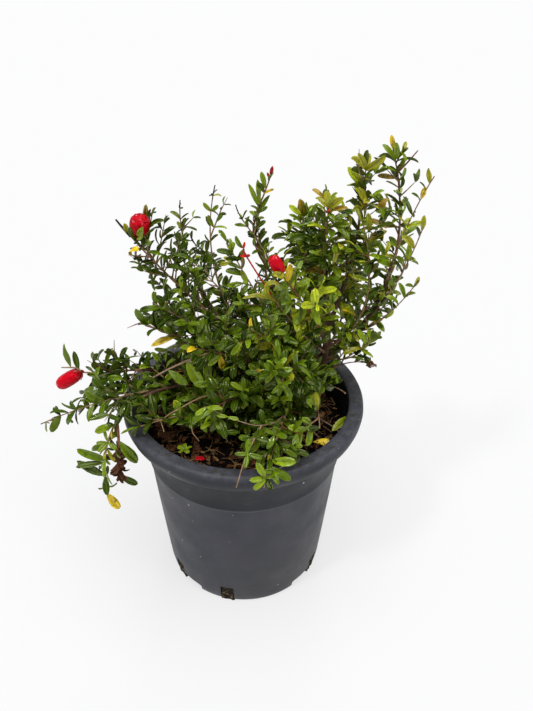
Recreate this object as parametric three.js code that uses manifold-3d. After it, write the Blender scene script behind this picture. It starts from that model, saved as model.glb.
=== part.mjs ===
// A dwarf pomegranate in a round moulded nursery pot, in millimetres, +Z up.
// The origin is the middle of the pot's flat underside, +X is right and +Y is back.
//
// The plant is one short leaning trunk that forks into thin boughs. Each bough ends in a mass of
// foliage: a stem that carries on from the bough, twigs that branch from it by a seeded rule, and
// leaves in opposite pairs. Everything in a mass is joined into one solid, which keeps to its own space.

import * as THREE from 'three';
import { mergeVertices } from 'three/addons/utils/BufferGeometryUtils.js';
import Module from 'manifold-3d';

const wasm = await Module();
wasm.setup();

// ---------- Driving dimensions ----------

const GAP = 0.3; // air between two solids that meet
const cutGap = GAP + 0.05; // air cut round a parent limb, whose faceted sides lie a little inside its radius

const pot = {
  height: 230,
  rimRadius: 125, // widest, on the rolled rim
  crestRadius: 122.5, // where the rim's top turns over into its skirt
  mouthRadius: 111, // inner edge of the rim's flat top
  skirtHeight: 21,
  skirtRadius: 120,
  ringDrop: 67, // from the rim's top down to the moulded ring
  ringRadius: 103.6,
  footRadius: 87,
  wall: 2.4,
  floor: 3,
  segments: 32,
};

const slot = { width: 15, height: 25, depth: 14 }; // drain slot at the foot of the wall
const arch = { width: 27, height: 11, depth: 7 }; // wide shallow cut in the foot
const slotAzimuths = [-144, -101, -28]; // degrees from +X, and again half a turn round
const archAzimuths = [-131, -42];
const halfTurn = 180;

const soilDrop = 26; // from the rim's top down to the soil
const soilTop = pot.height - soilDrop;

const trunkSize = { flare: 9.5, radius: 5.2, tip: 3.2, flareHeight: 12 };
const shootSize = { least: 1.4, perLength: 0.0065, sideShare: 0.72, tipShare: 0.42 }; // radius at its foot
const limbSides = 5;
const limbSteps = 3;
const spread = 42; // how far a mass's space reaches from its stem
const stemSides = 4;
const stemSteps = 3;
const twigSides = 3;
const twigRadius = 0.85;
const twigLeaves = [[0.97, 0.05], [0.84, 0.7], [0.6, 0.75], [0.36, 0.8]]; // [share of the twig, lean off it]
const leavesPerNode = 2.3;
const rounds = 3; // times that the nodes run down a stem while it lacks leaves
const nodeRange = { top: 0.96, low: 0.06, lowOnTrunk: 0.16 }; // shares of the stem that carry nodes
const stemLeast = 1.3; // thinnest radius of a stem
const foliageAir = 0.8; // least air round a leaf or twig
const farApart = 260; // masses further off than this can't share a space
const firstSeed = 3000;
const seedStep = 37;

const leafSize = { length: 36, width: 13, thick: 1.3, sink: 0.3 };
const endLeaf = { length: 22, width: 9, shown: 20 };
const rootClear = 3; // from a leaf's root to where it is well clear of its twig

// ---------- The plan of the plant ----------

// A shoot leaves its parent at a share of the parent's length and ends at its tip: [right, back, up].
// Its bow moves the middle of its curve off the straight line. It is bare bough up to its bare share,
// and a mass of foliage beyond. A mass with no bare share springs from the trunk itself.
const trunkLine = { foot: [44, 8, soilTop - 5], tip: [84, 24, 312], bow: [14, 2, -10] };

// name, parent, where it leaves, tip, bow, bare share, leaves, and a flower's place on the stem and size
const shootRows = [
  // the tall right-hand side
  ['crest_left', 'trunk', 1, [76, 0, 440], [-2.7, 7, 0], 0.35, 13],
  ['crest_mid', 'trunk', 0.88, [109, 30, 466], [8, 4, 0], 0.38, 13],
  ['top', 'trunk', 0.56, [133, 52, 480], [38, 6, -18], 0.44, 15],
  ['far_right', 'top', 0.39, [164, -2, 470], [-4, -4, 8], 0.3, 12],
  ['right_reach', 'top', 0.29, [157, -16, 428], [2, -6, -4], 0.34, 10],
  ['right_side', 'top', 0.2, [157, -32, 386], [0, -6, -6], 0.3, 12],
  ['right_drop', 'trunk', 0.38, [139, 10, 258], [2, 4, 12], 0, 12],
  ['inner_right', 'trunk', 0.7, [107, 6, 424], [22, -6, -14], 0, 15],
  // the middle
  ['pale_crown', 'trunk', 0.81, [56, 40, 414], [-8, 6, 0], 0.32, 12],
  ['flower_shoot', 'trunk', 0.73, [29, -42, 402], [6, -10, 2], 0.3, 12, { at: 1, size: 21 }],
  ['red_shoot', 'trunk', 0.66, [2, -48, 420], [4, -12, -10], 0, 12],
  ['bud_spire', 'trunk', 0.54, [26, 35, 461], [-20, 8, 0], 0.35, 13, { at: 1, size: 9 }],
  ['thorn_spire', 'bud_spire', 0.3, [-7, 22, 432], [-10, -4, 0], 0.3, 10],
  ['mid_tuft', 'trunk', 0.46, [-14, -14, 412], [-6, -10, 6], 0, 15],
  // the upper left
  ['flower_arm', 'trunk', 0.3, [-111, 0, 423], [-14, -2, 2], 0.5, 17, { at: 0.78, size: 26 }],
  ['thin_spire_right', 'flower_arm', 0.3, [-25, 30, 447], [-20, 6, -4], 0.3, 11],
  ['thin_spire_left', 'flower_arm', 0.45, [-59, 40, 428], [-14, 8, -2], 0.3, 10],
  ['left_shoulder', 'flower_arm', 0.22, [-101, -40, 380], [-6, -12, 8], 0.26, 13],
  ['left_shelf', 'trunk', 0.235, [-100, -34, 338], [-6, -4, 14], 0.26, 13],
  // the low left, out over the rim
  ['low_left', 'trunk', 0.12, [-180, -20, 259], [0, 6, 22], 0.3, 21, { at: 1, size: 26 }],
  ['low_left_tip', 'low_left', 0.24, [-200, -52, 228], [0, -14, 26], 0.34, 15],
  ['droop', 'low_left_tip', 0.2, [-140, -62, 126], [-30, -16, 55], 0.36, 12],
  // the front, low over the pot
  ['left_front', 'trunk', 0.175, [-99, -72, 244], [0, -8, 14], 0, 14],
  ['centre_low', 'trunk', 0.27, [-24, -86, 280], [-8, 0, 8], 0, 13],
  ['centre_front', 'trunk', 0.42, [26, -88, 322], [0, -4, 8], 0, 14],
  ['front_hang', 'trunk', 0.135, [20, -136, 214], [0, -14, 42], 0, 12],
  ['front_right', 'trunk', 0.2, [72, -100, 246], [6, -4, 18], 0, 13],
  ['right_front', 'trunk', 0.34, [108, -44, 252], [6, -6, 12], 0, 11],
  ['centre_high', 'trunk', 0.5, [6, -62, 352], [-2, -8, 8], 0, 13],
  ['centre_left', 'trunk', 0.37, [-44, -56, 326], [-4, -8, 10], 0, 15],
  ['right_low', 'trunk', 0.62, [124, -14, 312], [4, -6, -8], 0, 12],
  // the back
  ['back_peak', 'trunk', 0.58, [56, 98, 384], [0, 8, -8], 0.28, 12],
  ['back_left', 'trunk', 0.2, [-56, 98, 330], [-4, 8, 10], 0.26, 12],
  ['back_low', 'trunk', 0.3, [14, 122, 272], [0, 4, 22], 0.22, 11],
  ['back_right', 'trunk', 0.44, [122, 98, 330], [6, 8, 4], 0.24, 12],
];

// The crown's outline as it is seen from the eye, in front and above, laid off on the upright plane
// through the pot's axis: [right, up]. Foliage keeps inside it.
const eye = [25, -575, 685];
const outline = [
  [-230, 180], [-195, 255], [-165, 300], [-75, 298], [-105, 325], [-115, 425], [-60, 448],
  [-25, 460], [10, 460], [30, 485], [38, 425], [95, 480], [120, 500], [150, 495], [170, 475],
  [165, 360], [138, 305], [145, 260], [120, 255], [105, 145], [20, 60], [-25, 165], [-120, 190],
  [-115, 80], [-140, 50], [-190, 130], [-160, 170], [-200, 170],
];

// ---------- Materials ----------

const paint = (color, roughness) => new THREE.MeshStandardMaterial({ color, roughness, metalness: 0 });
const plastic = paint(0x3a3b40, 0.55);
const bark = paint(0x6d5140, 0.85);
const foliage = paint(0x3c6b1c, 0.4);
const compost = paint(0x2b1d14, 0.95);

// ---------- Small helpers ----------

const vec = (list) => new THREE.Vector3(...list);
const polar = (radius, degrees) => {
  const angle = THREE.MathUtils.degToRad(degrees);
  return [radius * Math.cos(angle), radius * Math.sin(angle)];
};

// A seeded source of numbers from 0 to 1, the same on every run.
function seeded(seed) {
  let state = seed >>> 0;
  return () => {
    state = (state + 0x6d2b79f5) >>> 0;
    let mixed = Math.imul(state ^ (state >>> 15), 1 | state);
    mixed = (mixed + Math.imul(mixed ^ (mixed >>> 7), 61 | mixed)) ^ mixed;
    return ((mixed ^ (mixed >>> 14)) >>> 0) / 4294967296;
  };
}

// A closed three.js geometry as a solid.
function solid(geometry) {
  const bare = geometry.index ? geometry.toNonIndexed() : geometry.clone();
  bare.deleteAttribute('normal');
  bare.deleteAttribute('uv');
  const merged = mergeVertices(bare, 1e-4);
  return new wasm.Manifold(
    new wasm.Mesh({
      numProp: 3,
      vertProperties: new Float32Array(merged.attributes.position.array),
      triVerts: new Uint32Array(merged.index.array),
    }),
  );
}

// The solid's largest piece as a named three.js mesh.
function meshOf(name, made, material) {
  const largest = made.decompose().reduce((a, b) => (a.volume() > b.volume() ? a : b));
  const { vertProperties, triVerts } = largest.getMesh();
  const geometry = new THREE.BufferGeometry();
  geometry.setAttribute('position', new THREE.BufferAttribute(new Float32Array(vertProperties), 3));
  geometry.setIndex(new THREE.BufferAttribute(new Uint32Array(triVerts), 1));
  geometry.computeVertexNormals();
  const mesh = new THREE.Mesh(geometry, material);
  mesh.name = name;
  return mesh;
}

// A surface of revolution about Z from a closed profile of [radius, height] points.
function turned(profile, segments) {
  const points = profile.map(([radius, height]) => new THREE.Vector2(radius, height));
  return new THREE.LatheGeometry(points, segments).rotateX(Math.PI / 2);
}

// A straight tapered rod along +Y, bent so that its middle follows a curve. radiusAt gives the
// radius at a share of the length.
function rodAlong(curve, radiusAt, sides, steps) {
  const rod = new THREE.CylinderGeometry(1, 1, 1, sides, steps);
  const places = rod.getAttribute('position');
  const frames = curve.computeFrenetFrames(steps, false);
  for (let i = 0; i < places.count; i += 1) {
    const share = places.getY(i) + 0.5;
    const step = Math.round(share * steps);
    const radius = radiusAt(share);
    const place = curve
      .getPointAt(share)
      .addScaledVector(frames.normals[step], places.getZ(i) * radius)
      .addScaledVector(frames.binormals[step], places.getX(i) * radius);
    places.setXYZ(i, place.x, place.y, place.z);
  }
  return rod;
}

// Part of a curve as a curve of its own.
function stretchOf(curve, from, to) {
  const points = [];
  const count = 8;
  for (let i = 0; i <= count; i += 1) points.push(curve.getPointAt(from + ((to - from) * i) / count));
  return new THREE.CatmullRomCurve3(points, false, 'centripetal');
}

// ---------- The pot and the soil ----------

// Wall radius outside, at a height: a rounded foot, a straight taper to the ring, then a flare to the rim.
const underRim = pot.height - pot.skirtHeight;
const ringHeight = pot.height - pot.ringDrop;
const ringStep = 1;
const outerWall = [
  [pot.footRadius - 3.5, 0],
  [pot.footRadius + 0.5, 3.5],
  [pot.footRadius + 2.5, 12],
  [pot.ringRadius - ringStep, ringHeight - ringStep],
  [pot.ringRadius, ringHeight],
  [pot.ringRadius + 4.6, ringHeight + 34],
  [pot.mouthRadius + 1.5, underRim + 2],
];

const insideHeights = [12, ringHeight, ringHeight + 34]; // where the inside of the wall bends

function radiusOn(profile, height) {
  const next = profile.findIndex(([, level]) => level >= height);
  if (next < 0) return profile[profile.length - 1][0];
  if (next === 0) return profile[0][0];
  const [[r0, z0], [r1, z1]] = [profile[next - 1], profile[next]];
  return r0 + ((r1 - r0) * (height - z0)) / (z1 - z0);
}

function potSolid() {
  const lip = pot.wall;
  const rim = [
    [pot.skirtRadius - lip, underRim + 2 + lip],
    [pot.skirtRadius - lip, underRim],
    [pot.skirtRadius, underRim],
    [pot.rimRadius - 1, pot.height - 14],
    [pot.rimRadius, pot.height - 6],
    [pot.crestRadius, pot.height],
    [pot.mouthRadius, pot.height - 1],
    [pot.mouthRadius - 2, pot.height - 4],
  ];
  const innerWall = insideHeights
    .map((height) => [radiusOn(outerWall, height) - pot.wall, height])
    .reverse();
  const profile = [
    [0, 0],
    ...outerWall,
    ...rim,
    ...innerWall,
    [pot.footRadius - 3, pot.floor],
    [0, pot.floor],
  ];
  let made = solid(turned(profile, pot.segments));
  const cutAll = (azimuths, size) => {
    for (const azimuth of azimuths) {
      for (const turn of [0, halfTurn]) {
        const cutter = new THREE.BoxGeometry(size.depth, size.width, 2 * size.height);
        const [x, y] = polar(pot.footRadius + 1, azimuth + turn);
        cutter.rotateZ(THREE.MathUtils.degToRad(azimuth + turn)).translate(x, y, 0);
        made = made.subtract(solid(cutter));
      }
    }
  };
  cutAll(slotAzimuths, slot);
  cutAll(archAzimuths, arch);
  return made;
}

function soilSolid() {
  const clear = pot.wall + 2 * GAP;
  const bottom = pot.floor + GAP;
  const side = insideHeights.map((height) => [radiusOn(outerWall, height) - clear, height]);
  const edge = side[side.length - 1][0];
  const profile = [[0, bottom], [pot.footRadius - 3.8, bottom], ...side, [edge - 12, soilTop], [0, soilTop]];
  return solid(turned(profile, pot.segments));
}

// Whether a point is in the pot's wall or rim, or in the soil, with some air left round them.
function inPot(point, air) {
  if (point.z > pot.height + air) return false;
  const reach = Math.hypot(point.x, point.y);
  const outside = (point.z > underRim - air ? pot.rimRadius : radiusOn(outerWall, point.z)) + air;
  if (reach > outside) return false;
  return reach > pot.mouthRadius - 6 - air || point.z < soilTop + air;
}

// ---------- Limbs ----------

function curveBetween(from, to, bow) {
  const middle = from.clone().lerp(to, 0.5).addScaledVector(vec(bow), 1);
  return new THREE.QuadraticBezierCurve3(from, middle.addScaledVector(vec(bow), 1), to);
}

const lines = new Map();
const trunkCurve = curveBetween(vec(trunkLine.foot), vec(trunkLine.tip), trunkLine.bow);

// The trunk flares at its foot and tapers from there to its fork.
function trunkRadius(share, extra = 0) {
  const height = share * trunkCurve.getLength();
  const flare = Math.max(0, 1 - height / trunkSize.flareHeight) ** 2;
  const taper = trunkSize.radius + (trunkSize.tip - trunkSize.radius) * share;
  return taper + (trunkSize.flare - trunkSize.radius) * flare + extra;
}

lines.set('trunk', { curve: trunkCurve, radiusAt: trunkRadius, bareTo: 1, sides: 8, steps: 8 });

for (const [name, parent, at, tip, bow, bareTo, leaves, flower] of shootRows) {
  const from = lines.get(parent).curve.getPointAt(at);
  const leader = at === 1; // carries straight on from its parent's end
  if (leader) from.addScaledVector(lines.get(parent).curve.getTangentAt(1), GAP);
  const curve = curveBetween(from, vec(tip), bow);
  const thinner = parent === 'trunk' && bareTo ? 1 : shootSize.sideShare;
  const foot = thinner * (shootSize.least + shootSize.perLength * curve.getLength());
  const radiusAt = (along, extra = 0) => foot * (1 - (1 - shootSize.tipShare) * along) + extra;
  const shape = { curve, radiusAt, sides: limbSides, steps: limbSteps };
  lines.set(name, { name, parent, leader, bareTo, leaves, flower, ...shape });
}

// A bare limb, or its parent's shape with air round it for cutting its foot away.
function limbSolid(line, extra = 0) {
  const shown = stretchOf(line.curve, 0, line.bareTo);
  return solid(rodAlong(shown, (share) => line.radiusAt(share * line.bareTo, extra), line.sides, line.steps));
}

// The trunk stands on the soil with a flat cut.
function trunkSolid() {
  const [x, y] = trunkLine.foot;
  const below = new THREE.BoxGeometry(60, 60, 30).translate(x, y, soilTop + GAP - 15);
  return limbSolid(lines.get('trunk')).subtract(solid(below));
}

const cutByParent = (made, line) => {
  if (line.leader) return made;
  return made.subtract(limbSolid(lines.get(line.parent), cutGap));
};

// ---------- Spaces of the masses ----------

const masses = shootRows.map(([name]) => lines.get(name));

for (const line of lines.values()) {
  line.marks = [];
  const count = 24;
  for (let i = 0; i <= count; i += 1) {
    const share = i / count;
    line.marks.push({ share, point: line.curve.getPointAt(share) });
  }
}

function nearest(marks, point) {
  let best = { distance: Infinity, share: 0 };
  const chord = new THREE.Line3();
  const foot = new THREE.Vector3();
  for (let i = 1; i < marks.length; i += 1) {
    chord.set(marks[i - 1].point, marks[i].point);
    const along = chord.closestPointToPointParameter(point, true);
    const distance = chord.at(along, foot).distanceTo(point);
    if (distance < best.distance) {
      best = { distance, share: marks[i - 1].share + (marks[i].share - marks[i - 1].share) * along };
    }
  }
  return best;
}

for (const line of masses) {
  line.massMarks = line.marks.filter(({ share }) => share >= line.bareTo - 0.02);
}

// A mass is fullest a little past its middle and draws in towards its tip.
function spreadAt(line, share) {
  const along = (share - line.bareTo) / (1 - line.bareTo);
  return spread * (0.72 + 0.28 * Math.sin(Math.PI * Math.min(1, 0.25 + along)));
}

// How far a point lies inside a mass's own space: less than 0 outside it or nearer to another mass.
function roomIn(line, point) {
  const own = nearest(line.massMarks, point);
  const reach = spreadAt(line, own.share);
  let room = reach - own.distance;
  for (const other of masses) {
    if (other === line) continue;
    if (other.curve.getPointAt(0.6).distanceTo(point) > farApart) continue;
    const theirs = nearest(other.massMarks, point);
    const theirReach = spreadAt(other, theirs.share);
    const nearer = theirs.distance / theirReach - own.distance / reach;
    room = Math.min(room, (nearer * reach * theirReach) / (reach + theirReach));
  }
  return room;
}

// Whether a point is inside the outline as the eye sees it.
function inOutline(point) {
  const share = eye[1] / (eye[1] - point.y);
  const x = eye[0] + (point.x - eye[0]) * share;
  const z = eye[2] + (point.z - eye[2]) * share;
  return outline.reduce((inside, [x1, z1], i) => {
    const [x0, z0] = outline[(i || outline.length) - 1];
    const crosses = z0 > z !== z1 > z && x < x0 + ((x1 - x0) * (z - z0)) / (z1 - z0);
    return crosses ? !inside : inside;
  }, false);
}

// Whether a straight piece from a to b, with a given half width, keeps to its space and clear of the
// limbs and the pot.
function keepsClear(line, a, b, half) {
  if (!inOutline(b)) return false;
  const samples = 8;
  for (let i = 0; i <= samples; i += 1) {
    const point = a.clone().lerp(b, i / samples);
    const width = half * Math.sin(Math.PI * Math.min(1, 0.15 + (0.7 * i) / samples));
    if (inPot(point, foliageAir + width * 0.6)) return false;
    for (const limb of lines.values()) {
      if (!limb.bareTo) continue;
      const { distance, share } = nearest(limb.marks, point);
      if (share > limb.bareTo + 0.03) continue;
      if (distance < limb.radiusAt(share) + foliageAir + width * 0.7) return false;
    }
    if (roomIn(line, point) < foliageAir + width * 0.75) return false;
  }
  return true;
}

// ---------- Leaves, twigs and flowers ----------

const up = new THREE.Vector3(0, 0, 1);
const upright = { axis: up, normal: new THREE.Vector3(1, 0, 0), binormal: new THREE.Vector3(0, 1, 0) };

// A leaf of eight faces: pointed at both ends, widest past its middle, its root sunk in the twig.
function leafSolid(root, way, face, size) {
  const blade = new THREE.OctahedronGeometry(1);
  blade.scale(size.width / 2, size.length / 2, size.thick / 2);
  const side = new THREE.Vector3().crossVectors(way, face).normalize();
  const top = new THREE.Vector3().crossVectors(side, way).normalize();
  blade.translate(0, size.length / 2 - size.sink, 0);
  blade.applyMatrix4(new THREE.Matrix4().makeBasis(side, way, top).setPosition(root));
  return solid(blade);
}

// A direction that leans off a frame's axis by an angle, at a turn about that axis.
function leaning(frame, lean, turn) {
  return frame.axis
    .clone()
    .multiplyScalar(Math.cos(lean))
    .addScaledVector(frame.normal, Math.sin(lean) * Math.cos(turn))
    .addScaledVector(frame.binormal, Math.sin(lean) * Math.sin(turn))
    .normalize();
}

// Where a rod of straight steps has its axis at a share of its length, and how its sides are set out there.
function frameOn(curve, steps, share) {
  const frames = curve.computeFrenetFrames(steps, false);
  const step = Math.min(steps - 1, Math.floor(share * steps));
  const from = curve.getPointAt(step / steps);
  const to = curve.getPointAt((step + 1) / steps);
  const axis = to.clone().sub(from).normalize();
  const binormal = new THREE.Vector3().crossVectors(axis, frames.normals[step]).normalize();
  const normal = new THREE.Vector3().crossVectors(binormal, axis);
  return { root: from.lerp(to, share * steps - step), axis, normal, binormal };
}

// Turns to try about a rod: the middles of its flat sides first, then others between them.
function turnsAbout(sides, start) {
  const flats = [0, 1, 2].map((k) => Math.PI / sides + (2 * Math.PI * (start + k)) / sides);
  return [...flats, flats[0] + 0.9, flats[1] + 0.7];
}

// Whether a new piece touches what the mass already has, apart from the twig or stem it grows on.
function touchesOthers(made, parts, host) {
  const { min, max } = made.boundingBox();
  return parts.some((part) => {
    if (part === host) return false;
    const box = part.boundingBox();
    if ([0, 1, 2].some((k) => box.min[k] > max[k] || box.max[k] < min[k])) return false;
    return !made.intersect(part).isEmpty();
  });
}

// Adds a leaf on a host piece, at the first of the turns where it has room. Returns whether it found any.
function addLeaf(line, parts, host, frame, lean, turns, random) {
  const scale = 0.72 + 0.3 * random();
  const { root } = frame;
  const size = { ...leafSize, length: leafSize.length * scale, width: leafSize.width * scale };
  for (const turn of turns) {
    const way = leaning(frame, lean, turn);
    const clear = root.clone().addScaledVector(way, rootClear);
    const end = root.clone().addScaledVector(way, size.length - size.sink);
    const face = leaning(upright, random() * 0.6, random() * Math.PI * 2);
    if (!keepsClear(line, clear, end, size.width / 2)) continue;
    const beyondHost = leafSolid(clear, way, face, { ...size, length: size.length - rootClear, sink: 0 });
    if (touchesOthers(beyondHost, parts, host)) continue;
    parts.push(leafSolid(root, way, face, size));
    return true;
  }
  return false;
}

// A flower: a calyx tube that swells into a crumpled head, in line with the shoot.
function flowerSolids(point, way, size) {
  const turn = new THREE.Quaternion().setFromUnitVectors(new THREE.Vector3(0, 1, 0), way);
  const calyx = new THREE.CylinderGeometry(size * 0.24, size * 0.09, size * 0.55, 5, 1);
  calyx.translate(0, size * 0.22, 0);
  const head = new THREE.SphereGeometry(size * 0.32, 6, 4).scale(1, 1.25, 1);
  head.translate(0, size * 0.66, 0);
  return [calyx, head].map((shape) => solid(shape.applyQuaternion(turn).translate(...point)));
}

// ---------- A mass ----------

// Adds a twig with at least two leaves, at the first of the turns where it has room. Returns its leaves.
function addTwig(line, parts, stemPiece, frame, turns, reach, random) {
  const { root } = frame;
  const thick = (share) => twigRadius * (1 - 0.25 * share);
  for (const turn of turns) {
    const way = leaning(frame, 0.65 + 0.3 * random(), turn);
    const clear = root.clone().addScaledVector(way, rootClear);
    const end = root.clone().addScaledVector(way, reach);
    if (!keepsClear(line, clear, end, twigRadius)) continue;
    const twigFrom = (start) => solid(rodAlong(new THREE.LineCurve3(start, end), thick, twigSides, 1));
    if (touchesOthers(twigFrom(clear), parts, stemPiece)) continue;
    const twig = twigFrom(root);
    const twigFrame = frameOn(new THREE.LineCurve3(root, end), 1, 0);
    const before = parts.length;
    parts.push(twig);
    twigLeaves.forEach(([share, lean], place) => {
      twigFrame.root = root.clone().lerp(end, share);
      const leanOff = lean + 0.2 * random();
      addLeaf(line, parts, twig, twigFrame, leanOff, turnsAbout(twigSides, place), random);
    });
    if (parts.length >= before + 3) return parts.length - before - 1;
    parts.length = before;
  }
  return 0;
}

function massSolid(line, index) {
  const random = seeded(firstSeed + seedStep * index);
  const stem = stretchOf(line.curve, line.bareTo, 1);
  const length = stem.getLength();
  const stemStart = line.bareTo ? (GAP + 0.3) / length : 0;
  const pastEnd = line.flower ? (line.flower.at < 1 ? 0 : line.flower.size) : endLeaf.shown;
  const shownStem = stretchOf(stem, stemStart, 1 - pastEnd / length);
  const stemRadius = (share) => Math.max(stemLeast, line.radiusAt(line.bareTo + (1 - line.bareTo) * share));
  const stemPiece = solid(rodAlong(shownStem, stemRadius, stemSides, stemSteps));
  const parts = [stemPiece];

  // the shoot ends in a flower or in a leaf
  const tip = frameOn(shownStem, stemSteps, 1);
  if (line.flower) {
    const place = frameOn(shownStem, stemSteps, line.flower.at).root;
    const way = line.flower.at < 1 ? vec([-0.05, -0.35, 0.93]).normalize() : tip.axis;
    parts.push(...flowerSolids(place.addScaledVector(way, -1.5), way, line.flower.size));
  } else {
    const root = tip.root.addScaledVector(tip.axis, endLeaf.shown - endLeaf.length);
    parts.push(leafSolid(root, tip.axis, up, { ...leafSize, ...endLeaf }));
  }

  let leafCount = 0;
  const lowNode = line.bareTo ? nodeRange.low : nodeRange.lowOnTrunk;
  const nodes = Math.round(line.leaves / leavesPerNode);
  for (let i = 0; i < rounds * nodes && leafCount < line.leaves; i += 1) {
    // each run of nodes down the stem lies between those of the run before
    const down = ((i % nodes) + Math.floor(i / nodes) / rounds) / nodes;
    const share = nodeRange.top - (nodeRange.top - lowNode) * down;
    const frame = frameOn(shownStem, stemSteps, share);
    let added = 0;
    if (i % 2) {
      const reach = spread * (0.35 + 0.4 * random());
      added = addTwig(line, parts, stemPiece, frame, turnsAbout(stemSides, i), reach, random);
    }
    if (!added) {
      for (const opposite of [0, stemSides / 2]) {
        const lean = 0.6 + 0.4 * random();
        const turns = turnsAbout(stemSides, i + opposite);
        if (addLeaf(line, parts, stemPiece, frame, lean, turns, random)) added += 1;
      }
    }
    leafCount += added;
  }
  const joined = parts.reduce((sum, part) => sum.add(part));
  return line.bareTo ? joined : cutByParent(joined, line);
}

// ---------- The whole plant ----------

const group = new THREE.Group();
group.add(meshOf('pot', potSolid(), plastic));
group.add(meshOf('soil', soilSolid(), compost));
group.add(meshOf('trunk', trunkSolid(), bark));
masses.forEach((line, index) => {
  if (line.bareTo) group.add(meshOf(`bough_${line.name}`, cutByParent(limbSolid(line), line), bark));
  group.add(meshOf(`foliage_${line.name}`, massSolid(line, index), foliage));
});

export default group;
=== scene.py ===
# %% [markdown]
# # A dwarf pomegranate in its nursery pot
#
# This lesson dresses a plain working model of a small potted tree. The model says where the pot, the
# trunk, the boughs and the masses of foliage are, and how far each one reaches. Everything here is made
# around it, in metres, in the same frame: +X is right, +Y is back, +Z is up, and the origin is the
# middle of the pot's flat underside.

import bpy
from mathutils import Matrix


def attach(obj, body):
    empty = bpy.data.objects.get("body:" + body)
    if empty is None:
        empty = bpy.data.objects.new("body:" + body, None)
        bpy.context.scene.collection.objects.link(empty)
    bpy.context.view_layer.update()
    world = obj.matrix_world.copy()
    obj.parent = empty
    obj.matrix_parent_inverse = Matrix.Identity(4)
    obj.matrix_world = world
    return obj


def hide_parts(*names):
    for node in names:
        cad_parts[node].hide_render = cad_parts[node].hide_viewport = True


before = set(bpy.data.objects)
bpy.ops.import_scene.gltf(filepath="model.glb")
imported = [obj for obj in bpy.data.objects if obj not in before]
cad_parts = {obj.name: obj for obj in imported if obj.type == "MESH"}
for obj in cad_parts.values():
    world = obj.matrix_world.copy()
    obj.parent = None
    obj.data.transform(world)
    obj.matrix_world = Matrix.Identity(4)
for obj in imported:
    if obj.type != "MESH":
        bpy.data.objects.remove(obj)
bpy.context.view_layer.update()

# %% Tools used throughout
import math
import random

import bmesh
import bpy
import numpy as np
from mathutils import Matrix, Vector, noise

MM = 0.001  # the plan below is in millimetres, as a nursery would give it
UP = np.array([0.0, 0.0, 1.0])


def unit(vector):
    return np.asarray(vector, float) / np.linalg.norm(vector)


def mm(*numbers):
    return np.array(numbers, float) * MM


# %% [markdown]
# ## The camera
#
# The plant is looked at from a step in front and above, so that the pot's mouth shows as an ellipse and
# the crown stands against the floor. A lens of about 35 mm on a full frame gives the pot its slight taper.

# %% Set up the camera
CAMERA_PLACE = mm(23.2, -574.4, 685.0)
CAMERA_DROP = 35.27  # degrees below level
CAMERA_ROLL = 0.79  # degrees
LENS = 35.44

camera = bpy.data.objects.new("camera", bpy.data.cameras.new("camera"))
camera.data.lens = LENS
camera.data.sensor_width = 36.0
camera.data.clip_start = 0.02
turn = Matrix.Rotation(math.radians(90 - CAMERA_DROP), 4, "X")
roll = Matrix.Rotation(math.radians(CAMERA_ROLL), 4, "Z")
camera.matrix_world = Matrix.Translation(CAMERA_PLACE) @ turn @ roll
bpy.context.scene.collection.objects.link(camera)
bpy.context.scene.camera = camera
print("camera at", [round(x, 3) for x in camera.location])

# %% [markdown]
# ## Floor and light
#
# The light is a soft studio one. The surround gives only a dim light but looks as pale as the floor, so no
# horizon shows. The floor is a dull paper with a faint glow of its own, so the shadows on it stay faint.
# One broad panel hangs overhead, a narrow one shines over the left shoulder, and two in between shine from
# the right and from behind, where they put the sheen on the leaves. Each is a sun with an angle of its own.

# %% Light the surround
SURROUND_GLOW, SURROUND_SEEN = 0.25, 0.93  # how much light it gives, and how pale it looks past the floor
world = bpy.data.worlds.new("studio")
world.use_nodes = True
background = world.node_tree.nodes["Background"]
background.inputs["Color"].default_value = (1.0, 1.0, 1.0, 1)
rays = world.node_tree.nodes.new("ShaderNodeLightPath")
choose = world.node_tree.nodes.new("ShaderNodeMapRange")
choose.inputs["To Min"].default_value, choose.inputs["To Max"].default_value = SURROUND_GLOW, SURROUND_SEEN
world.node_tree.links.new(rays.outputs["Is Camera Ray"], choose.inputs["Value"])
world.node_tree.links.new(choose.outputs["Result"], background.inputs["Strength"])
bpy.context.scene.world = world
bpy.context.scene.view_settings.view_transform = "Standard"
print("the surround gives", SURROUND_GLOW, "and looks", SURROUND_SEEN)

# %% Lay the floor
FLOOR_SIZE = 8.0  # from its middle to its edge
PAPER = {
    "Base Color": (0.26, 0.26, 0.262, 1), "Roughness": 0.9, "Specular IOR Level": 0.0,
    "Emission Color": (1.0, 1.0, 1.0, 1), "Emission Strength": 0.64,
}
bm = bmesh.new()
bmesh.ops.create_grid(bm, x_segments=1, y_segments=1, size=FLOOR_SIZE)
floor = bpy.data.objects.new("floor", bpy.data.meshes.new("floor"))
bm.to_mesh(floor.data)
bm.free()
bpy.context.scene.collection.objects.link(floor)
paper = bpy.data.materials.new("floor_paper")
paper.use_nodes = True
for socket, value in PAPER.items():
    paper.node_tree.nodes["Principled BSDF"].inputs[socket].default_value = value
floor.data.materials.append(paper)
print("the floor is", 2 * FLOOR_SIZE, "m across")

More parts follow.
